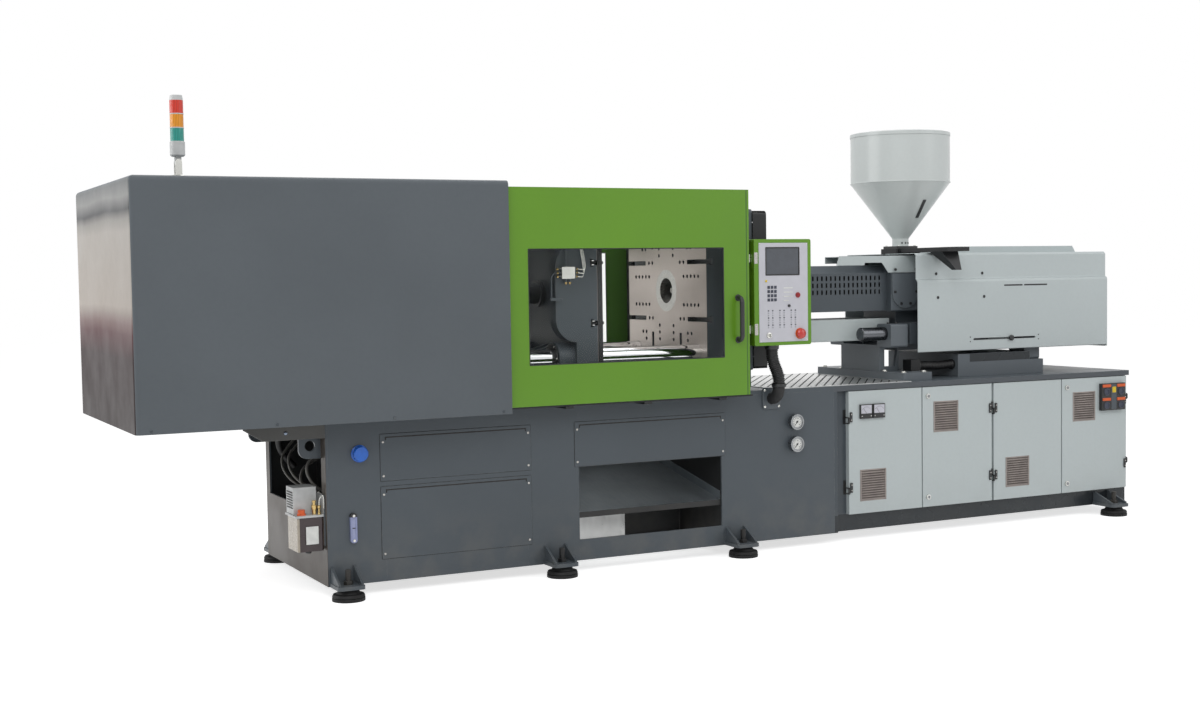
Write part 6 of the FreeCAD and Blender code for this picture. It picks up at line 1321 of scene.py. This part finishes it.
@dataclass
class Guards:
    """Clamp cover and the two sliding guard doors."""

    window: tuple = ((1705.0, 2710.0), (960.0, 1475.0))
    plane: float = 600.0
    handle: tuple = (2785.0, 1041.0, 1239.0)
    stile_bolts: tuple = ((1640.0, 2827.0), (1090.0, 1340.0))

    def dress(self) -> None:
        """Slate cover with a painted reflection on its glossy end, green doors with black handles and painted
        shade on their inner sides, clear panes.
        """
        # Painted reflection in bands of height on the cover's left end face.
        end = Coat.COVER_END_REFLECTION.zone((-2.0, -660.0, 740.0), (3.0, 660.0, 1800.0))
        dress("clamp_cover", Coat.COVER, end)
        x = self.handle[0]
        for node, side in (("front_door", -1), ("rear_door", 1)):
            low, high = sorted((side * 600.6, side * 652.0))
            near, far = sorted((side * 558.0, side * 598.4))
            grip = Coat.BLACK_PLASTIC.zone((x - 14, low, 1020.0), (x + 14, high, 1260.0))
            # Darker green on the door's inner side and in the narrow channel near its edge: painted shade.
            back = Coat.GREEN_SHADE.zone((1560.0, near, 770.0), (2860.0, far, 1750.0))
            groove_shade = Coat.GREEN_SHADE.zone((2832.0, -601.5, 770.0), (2839.0, -598.0, 1750.0))
            dress(node, Coat.GREEN, back, groove_shade, grip)
        pane = pane_material("clear_pane", (0.985, 0.99, 0.985, 1.0))
        dress("front_door_pane", pane)
        dress("rear_door_pane", pane)
        dress("door_frame", Coat.BLACK)

    def trims(self, side: int) -> None:
        """Rubber gasket round the window, feet of the handle and bolts on the inner side of the stiles.

        Args:
            side: -1 for the operator's door, 1 for the rear one.
        """
        body = "front_door" if side < 0 else "rear_door"
        piece = Piece(f"{body}_trims", body, Coat.RUBBER)
        flip = (1.0, -side, 1.0)
        (x0, x1), (z0, z1) = self.window
        outer = outline_round((x0 + 0.2, x1 - 0.2), (z0 + 0.2, z1 - 0.2), 4.0)
        piece.add(stacked(outer, [(-597.2, 0.0), (-600.8, 0.0), (-600.2, 4.0), (-597.2, 4.0)]) * flip, loop=True)
        x, low, high = self.handle
        for z in (low, high):
            foot = [(3, 0), (16, 0), (16, 3), (12, 5), (3, 5)]
            piece.spin(foot, (x, -self.plane, z), FRONT, 18, Coat.BLACK_PLASTIC, flip=flip)
        stations, heights = self.stile_bolts
        for z in heights:
            for x in stations:
                piece.spin(sized(SCREW, 6.0), (x, -559.0, z), BACK, 12, Coat.ZINC, flip=flip)
        piece.make()

    def cover_screws(self) -> None:
        """Screws along the cover's lower hem, both sides."""
        piece = Piece("cover_screws", "frame", Coat.SLATE)
        head = turned(sized(SCREW, 6.0), (0, 0, 0), FRONT, 12)
        places = [(x, -640.0, 770.0) for x in (60.0, 560.0, 1060.0, 1560.0)]
        piece.both_sides(head, places)
        piece.make()

    def build(self) -> None:
        """Makes every fine part of the cover and the doors."""
        self.dress()
        self.trims(-1)
        self.trims(1)
        self.cover_screws()


@dataclass
class Clamp:
    """Platens, tie bars and toggle."""

    moving_face: float = 2150.0
    slot_height: float = 140.0
    half: float = 392.5

    def dress(self) -> None:
        """Milled mould faces on slate castings, chrome bars, steel pins; darker slate as painted shade on the
        fixed platen behind its face, and a black guard that stands in for the platen's back in shade.
        """
        # Darker slate on the fixed platen's casting behind its mould face: painted shade.
        dark = Coat.DARK.zone((2741.0, -380.0, 890.0), (2995.0, 380.0, 1655.0))
        milled = Coat.MILLED.zone((2736.0, -400.0, 870.0), (2739.2, 400.0, 1680.0))
        bore = Coat.STEEL.zone((2737.0, -104.0, AXIS_HEIGHT - 104.0), (3002.0, 104.0, AXIS_HEIGHT + 104.0), "x")
        dress("fixed_platen", Coat.SLATE, dark, milled, bore)
        face = Coat.MILLED.zone((2148.8, -400.0, 870.0), (2152.0, 400.0, 1680.0))
        dress("moving_platen", Coat.SLATE, face)
        dress("end_platen", Coat.SLATE, Coat.CHROME.zone((1369.0, -272.0, 1245.0), (1830.0, 272.0, 1300.0)))
        dress("tie_bars", Coat.CHROME)
        dress("unit_guide_rods", Coat.GUN_METAL)
        for node in ("end_platen_pins", "moving_platen_pins", "adjusting_nuts", "crosshead", "ejector_rod",
                     "crosshead_links_upper", "crosshead_links_lower"):
            dress(node, Coat.STEEL)
        for node in ("rear_link_upper", "rear_link_lower", "front_links_upper", "front_links_lower"):
            dress(node, Coat.CAST)
        for node in ("clamp_cylinder", "ejector_cylinder"):
            dress(node, Coat.DARK)
        dress("platen_bushes", Coat.BRASS)
        dress("lubrication_manifold", Coat.SLATE,
              Coat.ZINC.zone((1954.0, -426.0, 1339.5), (2022.0, -391.0, 1396.0)))
        # The black of this guard stands in for the fixed platen's back in shade.
        dress("platen_rear_guard", Coat.BLACK)

    def clamps(self) -> None:
        """Black T-bolts with nuts in the side ends of the moving platen's slots."""
        piece = Piece("mould_bolts", "moving_platen", Coat.BLACK_PLASTIC)
        face, edge = self.moving_face, -self.half
        piece.plate((face + 0.2, face + 27.0), (880.0, 1665.0), (edge + 1.0, edge + 7.0), radius=0.8, edge=0.3)
        for sz in (-1, 1):
            for sy in (-1, 1):
                y, z = sy * (self.half - 18.0), AXIS_HEIGHT + sz * self.slot_height
                x = self.moving_face
                piece.spin(sized(HEX, 15.0, 18.0), (x - 34.0, y, z), RIGHT, 6)
                piece.spin([(8, 0), (8, 62), (7, 64), (1, 64)], (x - 26.0, y, z), RIGHT, 12)
                piece.spin([(8.2, 0), (17, 0), (17, 3), (8.2, 3)], (x + 0.3, y, z), RIGHT, 20, loop=True)
                piece.spin([(8.2, 0), (15, 0), (15, 13), (8.2, 13)], (x + 3.5, y, z), RIGHT, 6, loop=True)
        piece.make()

    def pipes(self) -> None:
        """Thin lubrication pipes and brass fittings round the manifold on the moving platen."""
        piece = Piece("lubrication_pipes", "moving_platen", Coat.ZINC)
        x0, y, z0 = 1955.0, -self.half - 16.0, AXIS_HEIGHT + 68.0
        ends = [(x, z0 + 10 + 17 * i, way) for x, way in ((x0 - 12, -1), (x0 + 78, 1)) for i in range(3)]
        for x, z, way in ends:
            piece.spin([(6.5, 0), (6.5, 5), (4.5, 6), (4.5, 9), (2, 9)], (x, y, z), (way, 0, 0), 6, Coat.BRASS)
        for i, (x, z, way) in enumerate(ends):
            if way > 0:
                run = [(x + 8, y, z), (x + 20 + 5 * i, y, z), (x + 26 + 4 * i, y + 2, z + 40),
                       (x + 20, y + 4, z + 120 + 12 * i)]
                piece.add(tube(smooth_path(run), 2.2, 7))
        for i in range(2):
            x = x0 + 26 + 20 * i
            piece.spin([(6.5, 0), (6.5, 6), (4, 7), (4, 10), (1, 10)], (x, y, z0 - 16), DOWN, 6, Coat.BRASS)
        piece.make()

    def bosses(self) -> None:
        """Wiper rings, their screws and a grease nipple on the moving platen's bar bosses."""
        piece = Piece("bar_wipers", "moving_platen", Coat.BLACK_PLASTIC)
        for sy in (-300.0, 300.0):
            for sz in (-300.0, 300.0):
                centre = (1960.0, sy, AXIS_HEIGHT + sz)
                ring = [(40.6, 0), (58, 0), (66, 2), (66, 9), (46, 14), (40.6, 14)]
                piece.spin(ring, centre, LEFT, 36, loop=True)
                for a in np.arange(6) * np.pi / 3:
                    spot = (1951.5, sy + 61 * np.cos(a), AXIS_HEIGHT + sz + 61 * np.sin(a))
                    piece.spin(sized(HEX, 5.0), spot, LEFT, 6, Coat.ZINC)
        piece.make()

    def build(self) -> None:
        """Makes every fine part of the clamp."""
        self.dress()
        self.clamps()
        self.pipes()
        self.bosses()


@dataclass
class InjectionUnit:
    """Carriage, barrel, covers, hopper and their support."""

    hopper: float = 4205.0
    hopper_levels: tuple = (1487.3, 1528.3, 1825.3)
    cover: tuple = (4067.0, 5407.0)
    side: float = 320.0
    rod_offset: float = 210.0

    def dress(self) -> None:
        """Slate castings and stand, pale covers and hopper, chrome rods, steel barrel."""
        block = Coat.BLACK.zone((4048.0, -286.0, 824.5), (4112.0, -214.0, 886.0))
        # Darker slate on the pedestal's side: painted shade in place of a set-back face.
        shade = Coat.PLINTH_SHADE.zone((4430.0, -302.0, 861.0), (4849.0, -298.0, 904.0))
        dress("injection_stand", Coat.STAND, block, shade)
        dress("nozzle_cylinders", Coat.WHITE)
        rods = [Coat.CHROME.zone((3650.0, y - 21, 1026.0), (4060.0, y + 21, 1068.0)) for y in (-95.0, 95.0)]
        plates = [Coat.STAND.zone((3986.0, y - 7.0, 1100.0), (4160.0, y + 7.0, 1420.0)) for y in (-206.2, 206.2)]
        dress("carriage", Coat.SLATE, *rods, *plates)
        bands = Coat.NEAR_BLACK_AND_SHADE.zone((3080.0, -70.0, 1200.0), (4200.0, 70.0, 1345.0))
        dress("barrel", Coat.STEEL, bands)
        dress("barrel_cover", Coat.SLATE)
        dress("screw", Coat.STEEL)
        pistons = [Coat.CHROME.zone((4400.0, y - 26, 1246.0), (4749.0, y + 26, 1299.0)) for y in (-175.0, 175.0)]
        dress("screw_drive", Coat.DARK, *pistons)
        dress("feed_hood", Coat.WHITE)
        dress("injection_cover", Coat.WHITE)
        dress("hopper_track", Coat.BLACK)
        plate = Coat.BLACK.zone((4130.0, -75.0, 1470.0), (4280.0, 75.0, 1487.0))
        dress("hopper", Coat.HOPPER, plate)
        dress("hopper_lid", Coat.HOPPER)

    def cover_details(self) -> None:
        """Screws, slot knob and the long slots on the sides of the moulded cover."""
        piece = Piece("cover_details", "carriage", Coat.BLACK_PLASTIC)
        x0, face = self.cover[0], -self.side
        knob = [(4, -6), (4, 3), (13, 4), (15, 7), (15, 14), (12, 17), (2, 18)]
        slot = outline_round((x0 + 372, x0 + 803), (978.0, 988.0), 4.5, 4)
        rim = stacked(slot, [(face + 0.5, 0.0), (face - 1.2, 0.0), (face - 1.2, 1.5), (face + 0.5, 1.5)])
        for flip in (NEAR, FAR):
            for x in (x0 + 133, x0 + 445):
                for y, z in ((-305.0, 1335.0), (face, 1210.0)):
                    piece.spin(sized(SCREW, 8.0), (x, y, z), FRONT, 14, flip=flip)
            for span in ((x0 + 584, x0 + 714), (x0 + 724, x0 + 889)):
                piece.add(slab(outline_round(span, (1264.0, 1272.0), 3.5, 4), (face - 1.0, face + 1.0),
                               0.4) * flip)
            piece.add(rim * flip, loop=True)
            piece.spin(knob, (x0 + 627, face, 983.0), FRONT, 20, flip=flip)
            for x in (x0 + 350, x0 + 826):
                for z in (971.0, 995.0):
                    piece.spin(sized(SCREW, 3.4), (x, face, z), FRONT, 10, flip=flip)
        piece.make()

    def side_plates(self) -> None:
        """Six cap screws on each side plate of the feed block."""
        piece = Piece("side_plate_screws", "carriage", Coat.BLACK_PLASTIC)
        for flip in (NEAR, FAR):
            for dx, dz in ((-68, 118), (68, 118), (-70, 0), (70, 0), (-30, -62), (30, -62)):
                piece.spin(sized(HEX, 8.0, 9.0), (4073 + dx, -212.0, 1243 + dz), FRONT, 6, flip=flip)
        piece.make()

    def hopper_details(self) -> None:
        """Hopper: rolled rim bead, neck and foot bolts, and the sight slot down its cone."""
        piece = Piece("hopper_details", "hopper", Coat.ZINC)
        foot, neck, cone = self.hopper_levels
        x, throat, bead = self.hopper, 44.0, 3.0
        around = np.linspace(0, 2 * np.pi, 8, endpoint=False)
        profile = [(265.5 + bead * np.cos(a), bead * np.sin(a)) for a in around]
        piece.spin(profile, (x, 0, cone + 2), UP, 72, Coat.HOPPER, loop=True)
        for dx in (-20, 0, 20):
            share = dx / throat
            place = (x + dx, -throat * np.sqrt(1 - share**2), foot + 17)
            piece.spin(sized(HEX, 5.0), place, (share, -1, 0), 6, Coat.BLACK_PLASTIC)
        for a in np.arange(4) * np.pi / 2 + np.pi / 4:
            piece.spin(sized(HEX, 6.5), (x + 76 * np.cos(a), 76 * np.sin(a), foot), UP, 6)
        wide, high = 221.0, 297.0
        slope = np.arctan2(wide, high)
        out = np.array((0.0, -np.cos(slope), -np.sin(slope)))
        low, top = ([x + 12, -(throat + t * wide / high) - 1.0, neck + t] for t in (109.0, 201.0))
        half = np.array((9.0, 0, 0))
        ring = np.array([low - half, low + half, top + half, top - half])
        piece.add(np.stack([ring - out * 2, ring + out * 2.5]), Coat.BLACK_PLASTIC)
        piece.make()

    def track_details(self) -> None:
        """Screws along the arm of the hopper track."""
        piece = Piece("track_details", "carriage", Coat.ZINC)
        for y in (-440, -300, -180):
            piece.spin(sized(SCREW, 4.8), (self.hopper + 74.5, y, 1473.0), UP, 12)
        piece.make()

    def stand_details(self) -> None:
        """Anchor bolts of the stand with their washers, and the bolts of the rod clamps."""
        piece = Piece("stand_bolts", "frame", Coat.ZINC)
        for x in (3950.0, 4080.0):
            for y in (-350.0, -190.0, 190.0, 350.0):
                piece.spin(sized(HEX, 11.0, 13.0), (x, y, 825.0), UP, 6)
                piece.spin([(11, 0), (17, 0), (17, 2.5), (11, 2.5)], (x, y, 825.0), UP, 18, loop=True)
        for x in (3960.0, 4010.0):
            for s in (-1, 1):
                piece.spin(sized(HEX, 9.0, 11.0), (x, s * self.rod_offset, 1076.0), UP, 6, Coat.BLACK_PLASTIC)
        piece.make()

    def hose(self) -> None:
        """Corrugated hose between the front support and the pedestal."""
        piece = Piece("stand_hose_ribbed", "frame", Coat.HOSE)
        start, end, y, z = 4110, 4350, -250, 850
        path = smooth_path([(start, y, z), (4172, y, z), (4246, y, z - 3.5), (4320, y, z), (end, y, z)])
        piece.add(ribbed(path, 19.5, 23.0, 10.0, 24))
        for x, way in ((start, 1), (end, -1)):
            piece.spin([(20, 0), (27, 0), (27, 12), (24, 16), (20, 16)], (x, y, z), (way, 0, 0), 20, loop=True)
        piece.make(replaces=("stand_hose",))

    def build(self) -> None:
        """Makes every fine part of the injection unit."""
        self.dress()
        self.cover_details()
        self.side_plates()
        self.hopper_details()
        self.track_details()
        self.stand_details()
        self.hose()


@dataclass
class SignalTower:
    """Folding signal tower with three lenses."""

    station: float = 240.0
    y: float = -420.0
    lens_low: float = 1917.0
    lens_height: float = 56.0

    def dress(self) -> None:
        """Grey base, three coloured lenses and a silver foot."""
        zones = []
        for i, coat in enumerate((Coat.LAMP_GREEN, Coat.LAMP_AMBER, Coat.LAMP_RED)):
            z = self.lens_low + i * self.lens_height
            zones.append(coat.zone((self.station - 40, self.y - 40, z + 2.6),
                                   (self.station + 40, self.y + 40, z + self.lens_height - 0.1)))
        dress("signal_tower", Coat.GREY_PLASTIC, *zones)
        dress("tower_foot", Coat.ZINC)

    def rings(self) -> None:
        """Pale joint rings under the lenses."""
        piece = Piece("tower_rings", "signal_tower", Coat.GREY_PLASTIC)
        ring = [(24.5, -1.2), (27.6, -1.2), (28.2, 0.2), (28.2, 2.2), (27.6, 3.4), (24.5, 3.4)]
        for i in range(3):
            piece.spin(ring, (self.station, self.y, self.lens_low + i * self.lens_height), UP, 36, loop=True)
        piece.make()

    def build(self) -> None:
        """Makes every fine part of the tower."""
        self.dress()
        self.rings()


# ---- Stage -------------------------------------------------------------------------------------------------


@dataclass
class Stage:
    """Floor, studio light, white background and camera."""

    place: Point = (-3.868, -6.89, 1.35)
    yaw: float = 27.07385752
    pitch: float = -3.05154962
    roll: float = -0.88113509
    focal: float = 1573.01
    width: float = 1200.0
    sensor: float = 36.0
    low_level: float = 0.36
    glow: float = 0.69
    floor_radii: tuple = (0.02, 1.0, 2.0, 4.0, 7.0, 11.0, 17.0, 30.0)
    floor_sides: int = 96
    aim: Point = (0.0, 0.0, 1.0)
    lamps: tuple = (
        ((-3.5, -5.5, 5.5), 5.0, 150.0),
        ((4.5, -5.0, 4.5), 5.0, 85.0),
        ((0.0, 1.0, 6.0), 6.0, 130.0),
        ((-6.5, 1.5, 3.0), 4.0, 120.0),
    )

    def camera(self) -> None:
        """Camera from its yaw, pitch and roll, with the focal length in pixels of a frame 1200 wide."""
        yaw, pitch, roll = np.radians((self.yaw, self.pitch, self.roll))
        ahead = np.array((np.sin(yaw) * np.cos(pitch), np.cos(yaw) * np.cos(pitch), np.sin(pitch)))
        right = np.array((np.cos(yaw), -np.sin(yaw), 0.0))
        up = np.cross(right, ahead)
        right, up = np.cos(roll) * right + np.sin(roll) * up, np.cos(roll) * up - np.sin(roll) * right
        data = bpy.data.cameras.new("camera")
        data.sensor_width = self.sensor
        data.lens = self.focal * self.sensor / self.width
        data.clip_end = 200.0
        bpy.context.scene.camera = stand("camera", data, (right, up, -ahead), self.place)

    def floor(self) -> None:
        """Pale floor: rings of a flat disc, white to the camera and shaded only by the machine."""
        turn = np.linspace(0, 2 * np.pi, self.floor_sides, endpoint=False)
        radius = np.array(self.floor_radii)[:, None]
        rings = np.stack([radius * np.cos(turn), radius * np.sin(turn), 0 * radius * turn], -1)
        index = np.arange(rings.size // 3).reshape(len(radius), -1)
        a, b = index[:-1], index[1:]
        faces = np.stack([a, b, np.roll(b, -1, 1), np.roll(a, -1, 1)], -1).reshape(-1, 4).tolist()
        faces.append(index[0].tolist())
        mesh = bpy.data.meshes.new("floor")
        mesh.from_pydata(rings.reshape(-1, 3).tolist(), [], faces)
        g = Graph(bpy.data.materials.new("floor"))
        matte = g.node("ShaderNodeBsdfDiffuse", {0: (0.86, 0.86, 0.86, 1.0)}).outputs[0]
        glow = g.node("ShaderNodeEmission", {0: WHITE_LIGHT, 1: self.glow}).outputs[0]
        both = g.node("ShaderNodeAddShader", {0: matte, 1: glow}).outputs[0]
        mixed = g.node("ShaderNodeMixShader", {0: g.seen(), 1: matte, 2: both}).outputs[0]
        g.node("ShaderNodeOutputMaterial", {0: mixed})
        mesh.materials.append(g.owner)
        made = bpy.data.objects.new("floor", mesh)
        bpy.context.scene.collection.objects.link(made)

    def light(self) -> None:
        """Soft lamps and a white world, which lights at a plain level and shows as white."""
        for i, (place, size, power) in enumerate(self.lamps):
            data = bpy.data.lights.new(f"lamp_{i}", "AREA")
            data.shape, data.size, data.energy = "DISK", size, power
            stand(f"lamp_{i}", data, square_frame(np.subtract(place, self.aim)), place)
        world = bpy.data.worlds.new("world")
        bpy.context.scene.world = world
        g = Graph(world)
        level = g.node("ShaderNodeMapRange", {0: g.seen(), 3: self.low_level, 4: 1.0}).outputs[0]
        back = g.node("ShaderNodeBackground", {0: WHITE_LIGHT, 1: level}).outputs[0]
        g.node("ShaderNodeOutputWorld", {0: back})
        bpy.context.scene.view_settings.view_transform = "Standard"

    def build(self) -> None:
        """Sets the camera, the floor and the light."""
        self.camera()
        self.floor()
        self.light()


def main() -> None:
    """Builds the stage and every sub-assembly in order."""
    logging.basicConfig(level=logging.INFO, format="%(name)s: %(message)s")
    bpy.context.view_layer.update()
    parts = (Stage(), Base(), Instruments(), Cabinet(), ControlPanel(), Guards(), Clamp(), InjectionUnit(),
             SignalTower())
    for part in parts:
        part.build()
        log.info("%s done", type(part).__name__)


if __name__ == "__main__":
    main()
